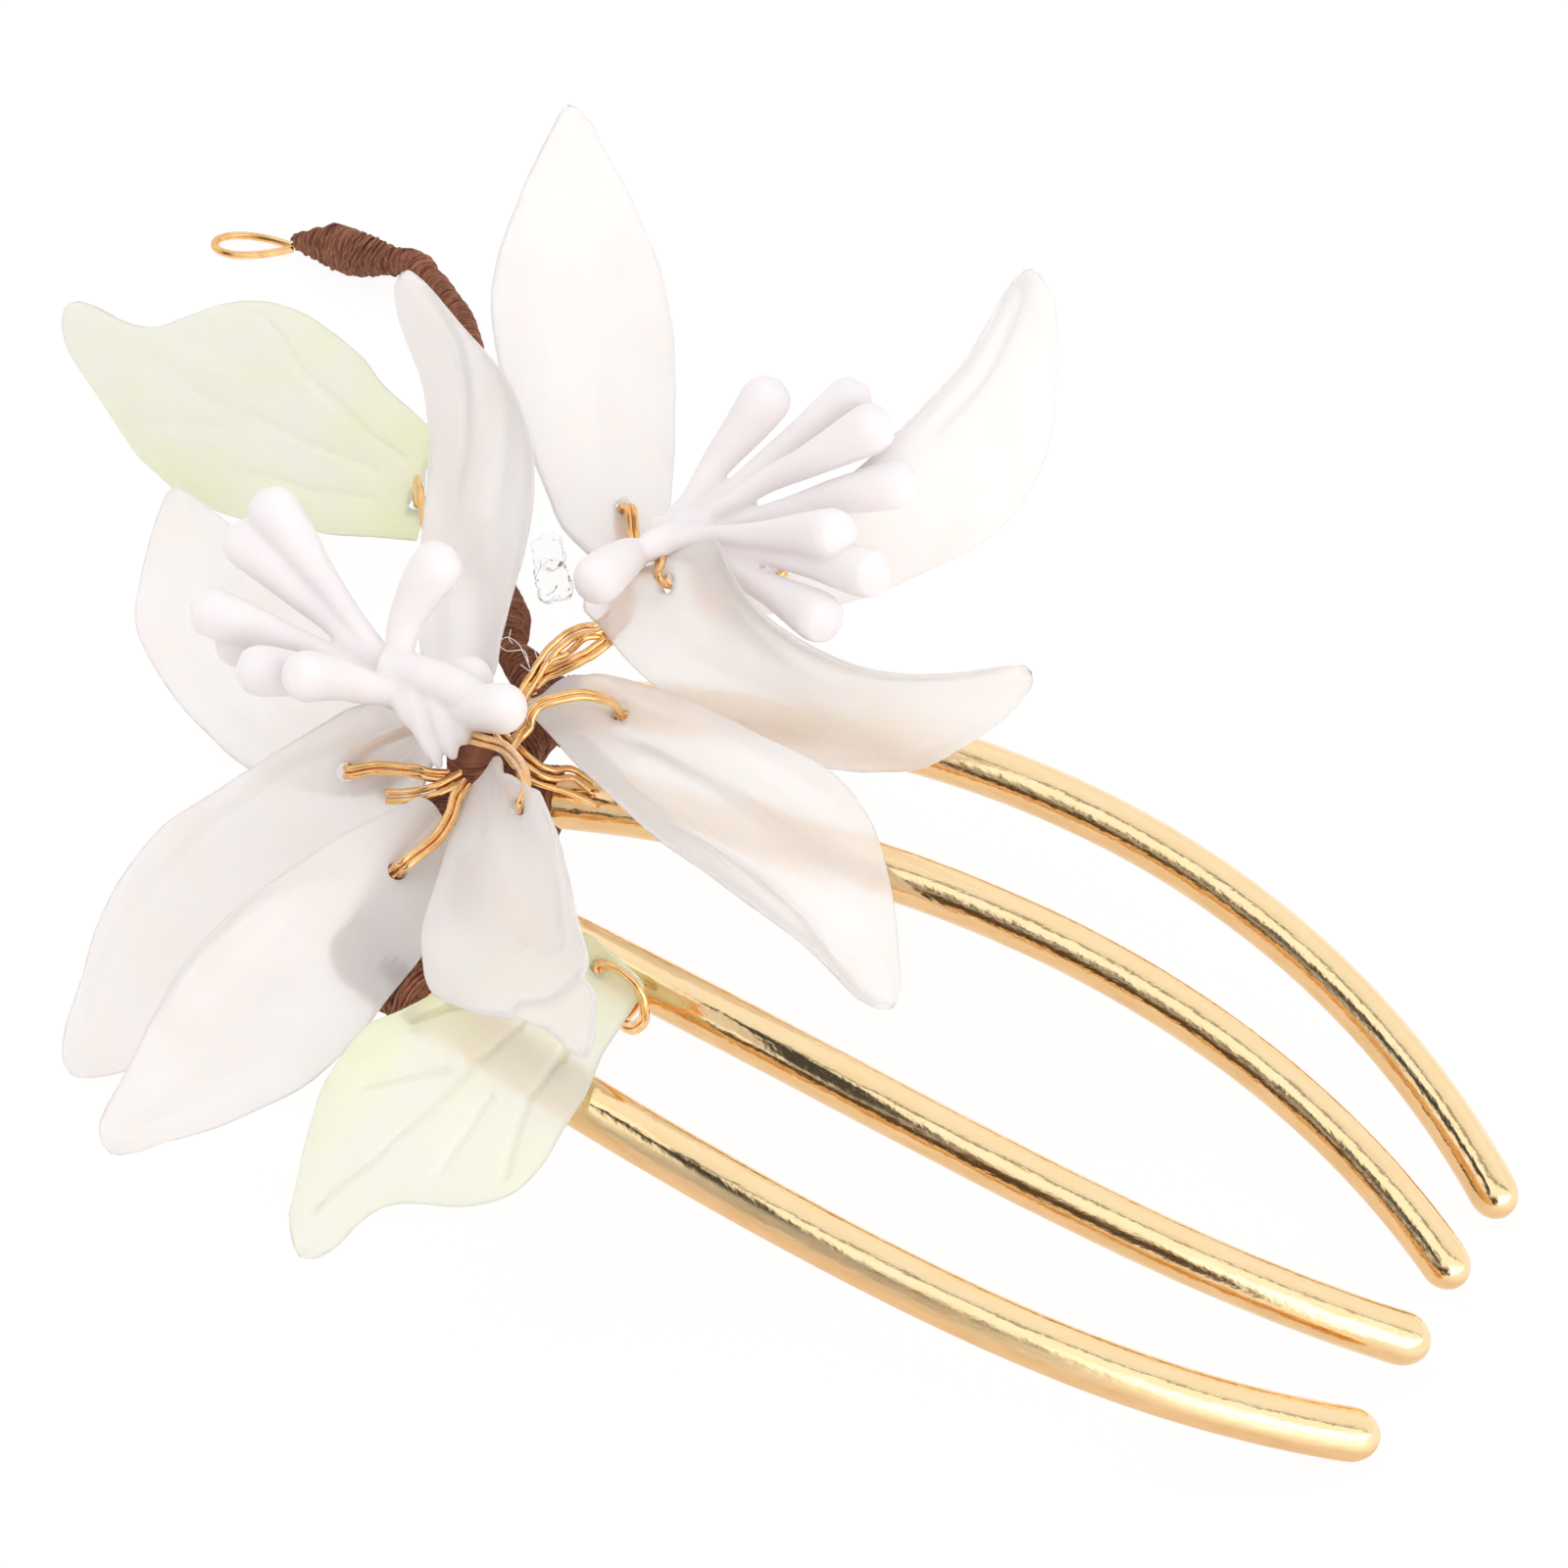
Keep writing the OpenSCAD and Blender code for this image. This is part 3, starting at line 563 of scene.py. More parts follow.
# The hand bent rims: left half widths, then right half widths, at these shares of the length
RIM_PLACES = (0.08, 0.16, 0.25, 0.35, 0.45, 0.55, 0.65, 0.74, 0.82, 0.88, 0.93, 0.96, 0.985)
RIMS = {
    "left_1": ((3.3, 4.9, 6.6, 8.1, 8.4, 8.0, 7.0, 6.0, 5.2, 4.7, 3.9, 3.0, 1.9),
               (3.3, 3.0, 3.2, 4.1, 4.9, 5.2, 4.7, 3.4, 1.9, 1.2, 1.0, 0.9, 0.7)),
    "left_2": ((3.6, 5.0, 6.0, 6.4, 6.7, 6.8, 6.7, 5.9, 4.5, 3.2, 2.1, 1.4, 0.8),
               (3.4, 4.5, 5.6, 6.4, 6.8, 6.8, 6.3, 5.4, 4.3, 3.2, 2.2, 1.5, 0.9)),
    "left_3": ((3.1, 4.1, 5.1, 5.8, 6.2, 6.2, 5.7, 4.9, 3.9, 3.0, 2.1, 1.5, 0.8),
               (3.6, 4.3, 5.0, 5.7, 6.4, 6.6, 6.1, 5.1, 3.9, 3.0, 2.3, 1.7, 1.1)),
    "left_4": ((3.1, 4.1, 4.9, 5.3, 5.8, 5.7, 4.7, 3.7, 2.7, 1.9, 1.4, 1.0, 0.6),
               (2.8, 3.7, 4.6, 5.3, 5.8, 5.7, 4.9, 4.0, 3.1, 2.6, 2.1, 1.7, 1.1)),
    "left_5": ((1.3, 2.3, 3.8, 5.2, 6.4, 6.5, 5.9, 5.3, 4.6, 3.9, 3.0, 2.2, 1.1),
               (3.1, 4.0, 4.8, 5.8, 6.6, 6.8, 6.2, 4.7, 2.6, 1.4, 0.9, 0.8, 0.5)),
    "left_6": ((3.2, 4.0, 4.6, 5.0, 5.5, 6.3, 6.2, 5.2, 3.9, 2.8, 1.9, 1.4, 0.8),
               (3.0, 4.2, 5.6, 6.6, 7.4, 7.6, 6.9, 5.7, 4.6, 3.9, 3.3, 2.7, 1.6)),
    "right_1": ((4.9, 5.7, 6.4, 7.1, 7.7, 7.7, 7.0, 5.7, 4.3, 3.1, 2.0, 1.3, 0.7),
                (2.7, 3.3, 4.0, 4.6, 5.1, 5.3, 5.1, 4.3, 3.4, 2.5, 1.8, 1.4, 0.8)),
    "right_2": ((3.3, 4.5, 5.7, 6.7, 7.1, 6.8, 6.1, 5.7, 4.9, 3.7, 2.3, 1.3, 0.5),
                (3.7, 4.8, 5.7, 6.2, 6.8, 7.2, 6.6, 5.3, 3.8, 3.0, 2.4, 2.0, 1.1)),
    "right_3": ((1.5, 3.9, 6.1, 7.4, 6.6, 4.4, 2.7, 2.0, 1.9, 1.9, 1.8, 1.6, 1.1),
                (2.8, 3.7, 4.6, 6.1, 7.6, 7.8, 7.5, 6.8, 5.3, 4.1, 2.9, 2.1, 1.4)),
}
# Folds: height and width, then places along and across the petal, all in mm. Left is +
FOLDS = {
    "left_1": ((0.35, 0.8, (25.2, -0.4), (23.4, 0.2), (21.7, 1.0), (19.4, 2.1), (17.8, 3.4)),
               (-0.3, 1.3, (21.1, -2.2), (19.0, -0.8), (16.2, 0.7)), (0.2, 0.9, (14, 4.2), (10, 4.0), (6, 2.5))),
    "left_2": ((0.3, 1.2, (13.1, -2.2), (19.6, 0.2), (25.5, 1.0)), (-0.25, 1.0, (11, 3), (18, 3.6), (25, 2.6))),
    "left_3": ((-0.22, 0.5, (1.8, -0.9), (8.0, -3.5), (13.7, -4.5), (19.0, -4.5), (24.7, -3.3), (28.6, -1.7)),
               (0.2, 1.6, (9.0, -0.6), (17.3, -1.0), (24.8, -0.6))),
    "left_4": ((-0.4, 0.6, (8.9, -3.1), (11.4, -4.1), (14.2, -4.6), (16.9, -4.8), (19.6, -4.3), (22.5, -3.8)),
               (0.2, 0.7, (11.8, -2.7), (15.3, -3.4), (18.6, -3.6), (22.1, -2.9)),
               (0.4, 0.8, (20.3, 3.6), (23.7, 2.2), (28.3, 0.8), (30.6, 0.1)),
               (-0.3, 1.4, (9.7, 0.5), (14.6, 0.2), (20.5, -0.2), (24.8, -0.6))),
    "left_5": ((-0.35, 0.4, (13.8, 6.1), (18.0, 6.1), (20.8, 5.2), (23.1, 4.1), (24.5, 3.0)),
               (-0.4, 0.4, (21.6, 0.0), (23.2, 1.4), (24.6, 3.0)), (0.5, 0.6, (26.3, -1.9), (27.6, 0.6), (28.8, 3.3)),
               (0.25, 1.6, (9, 0), (15, -1), (20, -2))),
    "left_6": ((0.45, 0.85, (2.7, 3.0), (6.4, 3.1), (11.1, 3.5), (16.2, 4.2), (19.8, 4.8)),
               (-0.5, 0.7, (6.5, 1.1), (11.2, 1.5), (15.5, 2.3), (20.1, 2.9), (23.4, 3.1), (25.0, 3.5)),
               (0.35, 1.1, (9.3, -0.2), (16.1, -0.1), (22.5, 0.6), (27.6, 1.2), (30.7, 0.1)),
               (-0.4, 0.8, (5.1, -1.0), (10.9, -2.9), (15.6, -3.4), (20.5, -2.1), (25.3, -1.2), (28.1, -2.0))),
    "right_1": ((0.3, 1.1, (26.4, -1.6), (22.5, -0.9), (18.7, -0.1), (13.2, 1.0), (8.4, 1.1)),
                (-0.2, 1.5, (23.9, 2.7), (18.4, 4.2), (11.5, 4.2))),
    "right_2": ((0.2, 0.8, (28.9, 2.1), (26.3, 2.5), (24.2, 2.5), (21.2, 2.5), (18.1, 3.2)),
                (0.25, 0.7, (17.7, -5.5), (16.1, -4.9), (14.4, -4.5), (12.6, -4.0)),
                (-0.25, 1.5, (25.0, -2.5), (19.8, -3.1), (15.8, -2.7))),
    "right_3": ((-0.25, 0.5, (18.6, -7.3), (21.1, -6.5), (23.1, -5.8), (25.1, -4.8), (26.8, -3.9)),
                (-0.3, 1.1, (6.6, -1.3), (11.1, -2.3), (14.9, -3.5), (18.1, -5.0), (20.9, -6.1)),
                (0.3, 0.8, (9.3, -4.9), (12.6, -5.8), (16.1, -6.8)), (0.2, 1.3, (9, 3.5), (13, 3), (18, 0))),
}


def blade(p):
    """Frames (point, forward, left, up) along a bent sheet, which is a row of PETALS or LEAVES."""
    az, el, roll = (math.radians(v) for v in p[3:6])
    long, base_bend, bend, sway, twist = p[6:11]
    t = Vector((math.cos(el) * math.cos(az), math.cos(el) * math.sin(az), math.sin(el)))
    b0 = Vector((-math.sin(az), math.cos(az), 0))
    b = b0 * math.cos(roll) + t.cross(b0) * math.sin(roll)
    n, at = t.cross(b), Vector(p[:3])
    out = [(at.copy(), t, b, n)]
    for i in range(1, BLADE_STEPS + 1):
        s = (i - 0.5) / BLADE_STEPS
        bent = Matrix.Rotation(-math.radians(bend * 2 * s + base_bend * 2 * (1 - s)) / BLADE_STEPS, 3, b)
        t, n = bent @ t, bent @ n
        swung = Matrix.Rotation(math.radians(sway * 2 * s) / BLADE_STEPS, 3, n)
        t, b = swung @ t, swung @ b
        turned = Matrix.Rotation(math.radians(twist) / BLADE_STEPS, 3, t)
        b, n = turned @ b, turned @ n
        at = at + t * long / BLADE_STEPS
        out.append((at.copy(), t, b, n))
    return out


def petal_blade(name, p):
    """A petal's frames, with its base turned where it is."""
    frames = blade(p)
    for i, (at, t, b, n) in enumerate(frames):
        turned = math.radians(BASE_TURN.get(name, 0)) * (1 - ramp_up(i / BLADE_STEPS, 0.1, 0.5))
        turn = Matrix.Rotation(turned, 3, t)
        frames[i] = (at, t, turn @ b, turn @ n)
    return frames


def frame_at(frames, s):
    """The sheet's frame at a share of its length."""
    j = min(BLADE_STEPS - 0.0001, max(0, s * BLADE_STEPS))
    i = int(j)
    a = j - i
    return [frames[i][k] * (1 - a) + frames[i + 1][k] * a for k in range(4)]


def sheet_point(f, w, u, cup):
    """The middle of a sheet at frame f, u of the way from the midline to the rim, which is w away."""
    return f[0] + f[2] * w * u * math.sqrt(1 - cup * cup / 2) + f[3] * cup * w * u * u


def sheet_up(f, u, cup):
    """The way a cupped sheet faces there."""
    return (f[3] * math.sqrt(1 - cup * cup / 2) - f[2] * 2 * cup * u).normalized()


def fold_height(folds, x, y):
    """How far the folds lift the sheet at x mm along and y mm across."""
    lift = 0
    for high, wide, *spots in folds:
        best = 1e9
        for (ax, ay), (bx, by) in zip(spots, spots[1:]):
            dx, dy = bx - ax, by - ay
            t = min(1, max(0, ((x - ax) * dx + (y - ay) * dy) / (dx * dx + dy * dy)))
            best = min(best, (x - ax - dx * t) ** 2 + (y - ay - dy * t) ** 2)
        lift += high * math.exp(-best / wide ** 2)
    return lift


def outline(stations):
    """A function that gives the two half widths at any share of the length."""
    lines = through(stations, 6)

    def halves(s):
        for a, b in zip(lines, lines[1:]):
            if s <= b.x:
                t = (s - a.x) / max(1e-6, b.x - a.x)
                return a.y + (b.y - a.y) * t, a.z + (b.z - a.z) * t
        return lines[-1].y, lines[-1].z
    return halves


def round_end(left, long):
    """Closes an outline with a round end: 0 at the end, 1 from long on."""
    return math.sqrt(max(0, 1 - (1 - min(1, left / long)) ** 2))


def crowded(i, rows, even):
    """A row's share of the length. The rows crowd towards both ends, the less the more even they are."""
    return (1 - even) * (0.5 - 0.5 * math.cos(math.pi * i / rows)) + even * i / rows


def half_thick(s, u, middle, rim, square, tip, foot):
    """Half a sheet's thickness, which thins to the rim and is rounded off there and at both ends."""
    thick = (rim + (middle - rim) * (1 - u * u)) / 2 * math.sqrt(max(0, 1 - abs(u) ** square))
    return thick * round_end(1 - s, tip) * min(1, (s / foot) ** 0.5)


def sheet_skin(bm, p, frames, halves, rows, around, even, point_at):
    """
    Skin of a sheet. point_at gives a point, how far across it is and half the thickness there, from the share of
    the length, the frame, the half width, u, 1 for the front or -1 for the back, and what it has kept for this u.
    """
    rings, marks = [], []
    for i in range(rows + 1):
        s = crowded(i, rows, even)
        f, (left, right), kept = frame_at(frames, s), halves(s), {}
        ring, mark = [], []
        for k in range(around):
            u, face = math.cos(2 * math.pi * k / around), 1 if k * 2 <= around else -1
            same_u = kept.setdefault(min(k, around - k), [])
            point, across, thick = point_at(s, f, left if u > 0 else right, u, face, same_u)
            ring.append(point)
            mark.append(Vector((s * p[6], across, face * thick)))
        rings.append(ring)
        marks.append(mark)
    skin(bm, rings, marks)


def number_of(name):
    """A number of its own for each name, to start its noise from."""
    return sum(ord(c) * (i + 1) for i, c in enumerate(name)) % 97


def petal_skin(bm, name, p):
    long, cup, seed = p[6], p[11], Vector((number_of(name), 0, 0))
    left, right = RIMS[name]
    halves = outline([(0, *BASES.get(name, (1.9, 1.9))), *zip(RIM_PLACES, left, right),
                      (1, left[-1] * 0.8, right[-1] * 0.8)])

    def petal_point(s, f, half, u, face, lift):
        calm = ramp_up(s, 0.2, 0.36)          # the base is smooth, where the wires lie
        w = half * round_end(s, 0.03) * round_end(1 - s, 0.02)
        w *= 1 + 0.025 * calm * noise.noise(seed + Vector((s * 9, u, 0)))
        thick = half_thick(s, u, PETAL_THICK, RIM_THICK, 16, 0.012, 0.012)
        if not lift:                          # front and back are lifted alike
            lift.append(fold_height(FOLDS[name], s * long, u * w) * round_end(1 - s, 0.08)
                        + 0.2 * calm * noise.noise(seed + Vector((s * 3.6, u * 1.5, 4))))
        return sheet_point(f, w, u, cup) + sheet_up(f, u, cup) * (face * thick + lift[0]), u * w, thick

    sheet_skin(bm, p, petal_blade(name, p), halves, PETAL_ROWS, PETAL_AROUND, 0.6, petal_point)


def settle(made):
    """Applies a piece's modifiers."""
    mesh = bpy.data.meshes.new_from_object(made.evaluated_get(bpy.context.evaluated_depsgraph_get()))
    made.modifiers.clear()
    made.data = mesh
    mesh.polygons.foreach_set("use_smooth", [True] * len(mesh.polygons))


def drill(made, at, way, wide=HOLE_WIDE):
    """Drills a round hole through a piece, at a point in the comb's frame."""
    bit_mesh = bpy.data.meshes.new("bit")
    bm = bmesh.new()
    turn = Vector((0, 0, 1)).rotation_difference(way).to_matrix().to_4x4()
    bmesh.ops.create_cone(bm, cap_ends=True, segments=28, radius1=wide / 2 * MM, radius2=wide / 2 * MM,
                          depth=5 * MM, matrix=Matrix.Translation((at + SHIFT) * MM) @ turn)
    bm.to_mesh(bit_mesh)
    bm.free()
    bit = bpy.data.objects.new("bit", bit_mesh)
    scene.collection.objects.link(bit)
    cut = made.modifiers.new("hole", "BOOLEAN")
    cut.operation, cut.solver, cut.object = "DIFFERENCE", "EXACT", bit
    settle(made)
    bpy.data.objects.remove(bit)


milk, tree, shader = new_finish("milky_petal")
cloud = speckle(tree, straight(tree), 0.22, 3.0)
frost = speckle(tree, straight(tree), 5.5, 3.0, 0.7)
grain = speckle(tree, straight(tree, (0.12, 2.0, 0.5)), 0.9, 3.0)
tone = ramp(tree, cloud, (0.3, (0.97, 0.905, 0.875)), (0.55, (0.985, 0.945, 0.925)), (0.75, (0.975, 0.935, 0.915)))
plug(tree, shader, {
    "Base Color": tone, "Roughness": spread(tree, cloud, 0.3, 0.7, 0.34, 0.5), "IOR": 1.22,
    "Transmission Weight": 0.57,
    "Subsurface Weight": 0.6, "Subsurface Radius": (1.0, 0.85, 0.75), "Subsurface Scale": 0.0016,
    "Coat Weight": 0.12, "Coat Roughness": 0.25})
bumps(tree, shader, (grain, 0.12, 0.35), (frost, 0.02, 0.35))

for name, p in PETALS.items():
    bm = bmesh.new()
    petal_skin(bm, name, p)
    made = piece("petal_" + name.replace("_", "_shell_"), bm, milk, "petal", "petal_" + name)
    frames, cup = petal_blade(name, p), p[11]
    along, y = HOLES.get(name, (0.15, 0))
    foot, foot_ahead, _, foot_up = frames[0]
    here = frame_at(frames, along)
    ahead, up = here[1], here[3]
    facing = sheet_up(here, y / NEAR_HALF, cup)
    hole = sheet_point(here, NEAR_HALF, y / NEAR_HALF, cup) + facing * fold_height(FOLDS[name], along * p[6], y)
    wide, way, clear = ASLANT.get(name, (HOLE_WIDE, facing, 0.2))
    drill(made, hole, way, wide)
    # The wires go along the petal's front, down through the hole and back underneath
    over = PETAL_THICK / 2 + WIRE / 2 + clear
    above = WIRE_WAYS.get(name) or (
        foot + foot_up * over - foot_ahead * 0.6, foot + foot_up * over + foot_ahead * 0.7,
        here[0] + up * over - ahead * 2.2)
    inward = (hole - Vector(above[-1])).normalized()
    path = through([
        *above, hole + way * over - inward * 0.6, hole + way * 0.55 * over - inward * 0.05, hole,
        hole - way * 0.55 * over - ahead * 0.05, hole - way * over - ahead * 0.7, hole - way * over - ahead * 2.2,
        foot - foot_up * over + foot_ahead * 0.7, foot - foot_up * over - foot_ahead * 0.6], 6)
    bm = bmesh.new()
    wire_pair(bm, path, way)
    piece("wires_" + name, bm, wire_finish, "copper_wire", "wire_" + name)

# ---------------------------------------------------------------------------
# Leaves
# Two pale green leaves from one mould, of the same clear milky stuff as the
# petals, with a midrib, side veins and one deep notch. Wire ties each stalk.
# ---------------------------------------------------------------------------
LEAF_LONG, LEAF_THICK, LEAF_RIM = 27.5, 1.1, 0.6
LEAF_ROWS, LEAF_AROUND = 180, 200
BASE_SLANT = {"front": 0, "back": 2.2}        # how far one corner of the stalk end reaches back
# x, y, z, heading, rise, roll, length, bend at the base, bend, sway, twist, cup
LEAVES = {
    "front": (18, -10.2, 19.5, 246.7, -10.4, -7.5, LEAF_LONG, -5.6, -32.7, -11.8, -7.6, 0),
    "back": (-18, 31.4, 9.5, 175.8, 3.6, -33, LEAF_LONG, 2, 2, 3.7, -25, -0.06),
}
# Left half widths, then right half widths, at these shares of the length
LEAF_RIM_PLACES = (0, 0.1, 0.19, 0.27, 0.37, 0.45, 0.54, 0.63, 0.71, 0.77, 0.84, 0.91, 0.96, 1)
LEAF_RIMS = {
    "front": ((1.3, 2.2, 3.0, 4.2, 5.1, 5.9, 6.0, 4.7, 2.4, 1.2, 0.9, 1.1, 0.9, 0.6),
              (4.1, 5.1, 6.4, 6.9, 7.4, 7.9, 8.6, 8.1, 7.4, 6.4, 5.1, 3.6, 2.6, 1.6)),
    "back": ((4.3, 5.3, 6.5, 7.2, 8.0, 8.3, 8.5, 7.9, 7.2, 6.2, 4.9, 3.6, 2.5, 1.5),
             (2.3, 3.2, 3.9, 5.0, 5.7, 6.0, 5.7, 4.5, 2.6, 1.3, 0.9, 1.1, 1.1, 1.0)),
}
VEIN_DEPTH = {"front": 0.75, "back": 0.55}
# Veins, pressed in, and soft ridges: height and width, then places along and across, in mm
LEAF_VEINS = {
    "front": ((-0.5, 0.24, (3, -1.2), (6.9, -1.9), (9.0, -1.8), (11.0, -1.8), (12.7, -1.7), (14.8, -1.5),
               (18.1, -1.5), (19.3, -1.4), (22.9, -1.6), (24.7, -1.5)),
              (0.14, 0.7, (3, -1.2), (9.0, -1.8), (14.8, -1.5), (24, -1.5)),
              (-0.42, 0.22, (12.9, -2.8), (14.2, -3.7), (15.9, -4.6), (17.3, -5.3)),
              (-0.75, 0.26, (9.3, -5.4), (10.2, -6.0), (11.6, -6.4), (12.5, -6.7)),
              (-0.42, 0.22, (12.0, 0.6), (12.9, 0.7), (14.2, 1.2), (15.7, 1.5), (17.2, 2.0)),
              (-0.45, 0.24, (6.3, 1.2), (8.5, 1.8), (10.4, 2.2), (12.3, 3.4), (14.4, 4.9)),
              (-0.35, 0.22, (4.4, 0.8), (5.8, 1.0), (7.2, 1.7)), (0.2, 1.4, (6, 0), (12, 0), (18, 0)),
              (0.15, 1.5, (8, -5), (14, -5.4), (19, -4.6))),
    "back": ((-0.36, 0.28, (1.6, -0.1), (2.7, -0.3), (4.4, -0.5), (7.1, -1.5), (10.5, -2.5), (12.8, -4.0),
              (14.5, -4.7)),
             (-0.38, 0.28, (3.3, 1.4), (6.1, 1.4), (7.9, 1.6), (10.1, 1.6), (13.2, 1.5), (16.9, 1.6)),
             (-0.32, 0.26, (3.1, 3.1), (5.0, 3.7), (6.6, 4.3), (9.5, 4.7), (12.3, 5.3)),
             (-0.2, 0.6, (18.2, -1.7), (15.1, -1.2), (11.6, -0.7)),
             (-0.2, 0.6, (23.5, -0.3), (21.0, 0.5), (17.4, 1.1)),
             (-0.18, 0.45, (18.8, 4.6), (16.7, 3.9), (14.4, 3.2)), (0.16, 1.3, (7, 0), (13, -0.6), (18, 0)),
             (0.14, 1.4, (8, 3.2), (14, 3.6), (19, 3))),
}
# The hole, the wires' first sideways direction and their way
TIES = {
    "front": ((16, -10.9, 19.4), (0, 1, 0), (
        (16, -11, 18.2), (16, -10.9, 19.4), (16.3, -11.3, 20.4), (17.2, -11.6, 21), (18.3, -11.7, 20.8),
        (19.2, -11.9, 20.1), (19.7, -12.2, 19), (19.6, -12.2, 17.8), (18.7, -11.9, 16.4), (17.4, -10.8, 15.2),
        (16.9, -9, 13.9), (16.8, -7, 13.2))),
    "back": ((-17.8, 29.6, 9.5), (-1, -0.5, 0), (
        (-17.8, 29.6, 8.2), (-17.8, 29.6, 9.5), (-17.7, 29.5, 10.4), (-16.8, 28.2, 11), (-15.9, 26.9, 11.1),
        (-15, 25.6, 10.9), (-13.8, 25.1, 10.9), (-12.8, 25.6, 11.4), (-12.1, 26.4, 12.1), (-11.2, 27, 12.2),
        (-10.8, 27.3, 11.4), (-11.5, 26.9, 10.4), (-12.6, 26.9, 11), (-12.5, 27.6, 12), (-11.7, 28.2, 12.1))),
}

jelly, tree, shader = new_finish("pale_green_leaf")
cloud = speckle(tree, straight(tree), 0.25, 4.0)
laid_out = node(tree, "ShaderNodeSeparateXYZ", {0: straight(tree)}).outputs
# Greener towards the rim and the stalk
to_rim = spread(tree, maths(tree, "ABSOLUTE", laid_out["Y"]), 3.0, 8.5, 0.0, 0.55)
to_stalk = spread(tree, laid_out["X"], 0.0, 8.0, 0.55, 0.0)
mottled = maths(tree, "SUBTRACT", cloud, 0.45)
green = maths(tree, "ADD", maths(tree, "ADD", to_rim, to_stalk), mottled)
tone = ramp(tree, green, (0.0, (0.965, 0.95, 0.86)), (0.4, (0.95, 0.96, 0.775)), (1.0, (0.84, 0.91, 0.56)))
plug(tree, shader, {
    "Base Color": tone, "Roughness": 0.3, "IOR": 1.4, "Transmission Weight": 0.55,
    "Subsurface Weight": 0.5, "Subsurface Radius": (0.9, 1.0, 0.5), "Subsurface Scale": 0.0015,
    "Coat Weight": 0.25, "Coat Roughness": 0.2})
grain = speckle(tree, straight(tree, (0.5, 1.6, 1)), 1.2, 4.0)
fine = speckle(tree, straight(tree), 5.0, 2.0)
bumps(tree, shader, (grain, 0.12, 0.4), (fine, 0.015, 0.3))


def leaf_skin(bm, name, p):
    halves, cup = outline(list(zip(LEAF_RIM_PLACES, *LEAF_RIMS[name]))), p[11]

    def leaf_point(s, f, half, u, face, veins):
        w = half * (round_end(s, 0.015) * round_end(1 - s, 0.045))
        thick = half_thick(s, u, LEAF_THICK, LEAF_RIM, 14, 0.015, 0.01)
        if not veins:                         # the same veins show weakly on the back
            pressed = fold_height(LEAF_VEINS[name], s * LEAF_LONG, u * w)
            veins.append(VEIN_DEPTH[name] * pressed * round_end(1 - s, 0.06))
        lift = veins[0] * (1 if face > 0 else 0.4) * (1 - abs(u) ** 10)
        back = BASE_SLANT[name] * max(0, u * w) / 5.2 * ramp_up(-s, -0.3, 0)
        return sheet_point(f, w, u, cup) + sheet_up(f, u, cup) * (face * thick + lift) - f[1] * back, u * w, thick

    sheet_skin(bm, p, blade(p), halves, LEAF_ROWS, LEAF_AROUND, 0.7, leaf_point)


for name, p in LEAVES.items():
    hole, first, way = TIES[name]
    bm = bmesh.new()
    leaf_skin(bm, name, p)
    made = piece("leaf_shell_" + name, bm, jelly, "leaf", "leaf_" + name)
    drill(made, Vector(hole), Vector((0, 0, 1)))
    bm = bmesh.new()
    wire_pair(bm, through(way, 8), first)
    piece("tie_" + name, bm, wire_finish, "copper_wire", "wire_leaf_" + name)

# ---------------------------------------------------------------------------
# Stamens
# Matt white drops on stems of the same clay, pressed together at the foot
# and bent outwards while soft. Nine in one flower and eight in the other.
# ---------------------------------------------------------------------------
# Where the stems start and where they bend outwards, then each head's place, some with a bend of their own
STAMENS = {
    "left": (((-1.6, 2.6, 19.6), (-6.1, 3.6, 22.3)), (
        (-16.9, 9, 27), (-18, 7.4, 25), (-18, 2.7, 23), (-16.3, 2.8, 21), (-13, -0.5, 23), (-9.2, -1.3, 25),
        (-4.9, 8.3, 28, -8.6, 3.6, 22), (-1.2, 5.2, 22.2, -2.6, 3.4, 21.4), (2.5, 2.7, 23.7, -1.6, 2.9, 22.2))),
    "right": (((3.5, 18.6, 22.9), (5.4, 21.2, 23.8)), (
        (8.4, 28.1, 30.7), (13.7, 29.3, 31.7), (16.4, 26.9, 32.7), (18.9, 25.3, 30.3), (17.8, 18.3, 31.7),
        (20.8, 17.1, 30.7), (18.5, 14.9, 27.7), (3.8, 13.5, 25.8, 4.9, 18.2, 25.2))),
}
HEAD_WIDE, STEM_STEPS = 3.3, 40
# Where the stems were pinched together: from, to, radius at each end
FOOT_FINGERS = {
    "left": (((-6.3, 3.9, 22.4), (1.2, 3, 23.2), 1.2, 1.4), ((-5.2, 2.9, 22.2), (-0.4, -0.3, 19.7), 0.85, 0.5),
             ((-4.2, 3.1, 22.4), (-1.7, 0.3, 20.5), 0.9, 0.55), ((-5.2, 2.5, 21.9), (-2.9, 0.9, 21), 0.75, 0.5),
             ((-2.4, 2.9, 22.5), (0.2, 0.3, 20.2), 0.9, 0.55), ((-0.6, 3, 22.7), (0.6, 1.3, 20.8), 0.9, 0.6),
             ((-3.6, 4, 22.5), (0.2, 4.4, 22.4), 1.1, 1.1)),
    "right": (((6.6, 20.6, 24.6), (4.6, 17.6, 24.6), 1.1, 0.9), ((4.6, 20.4, 23.8), (8.4, 21.4, 25.2), 1.2, 1.0),
              ((6.2, 19.8, 24.4), (9.6, 20, 25.6), 1.1, 0.9)),
}

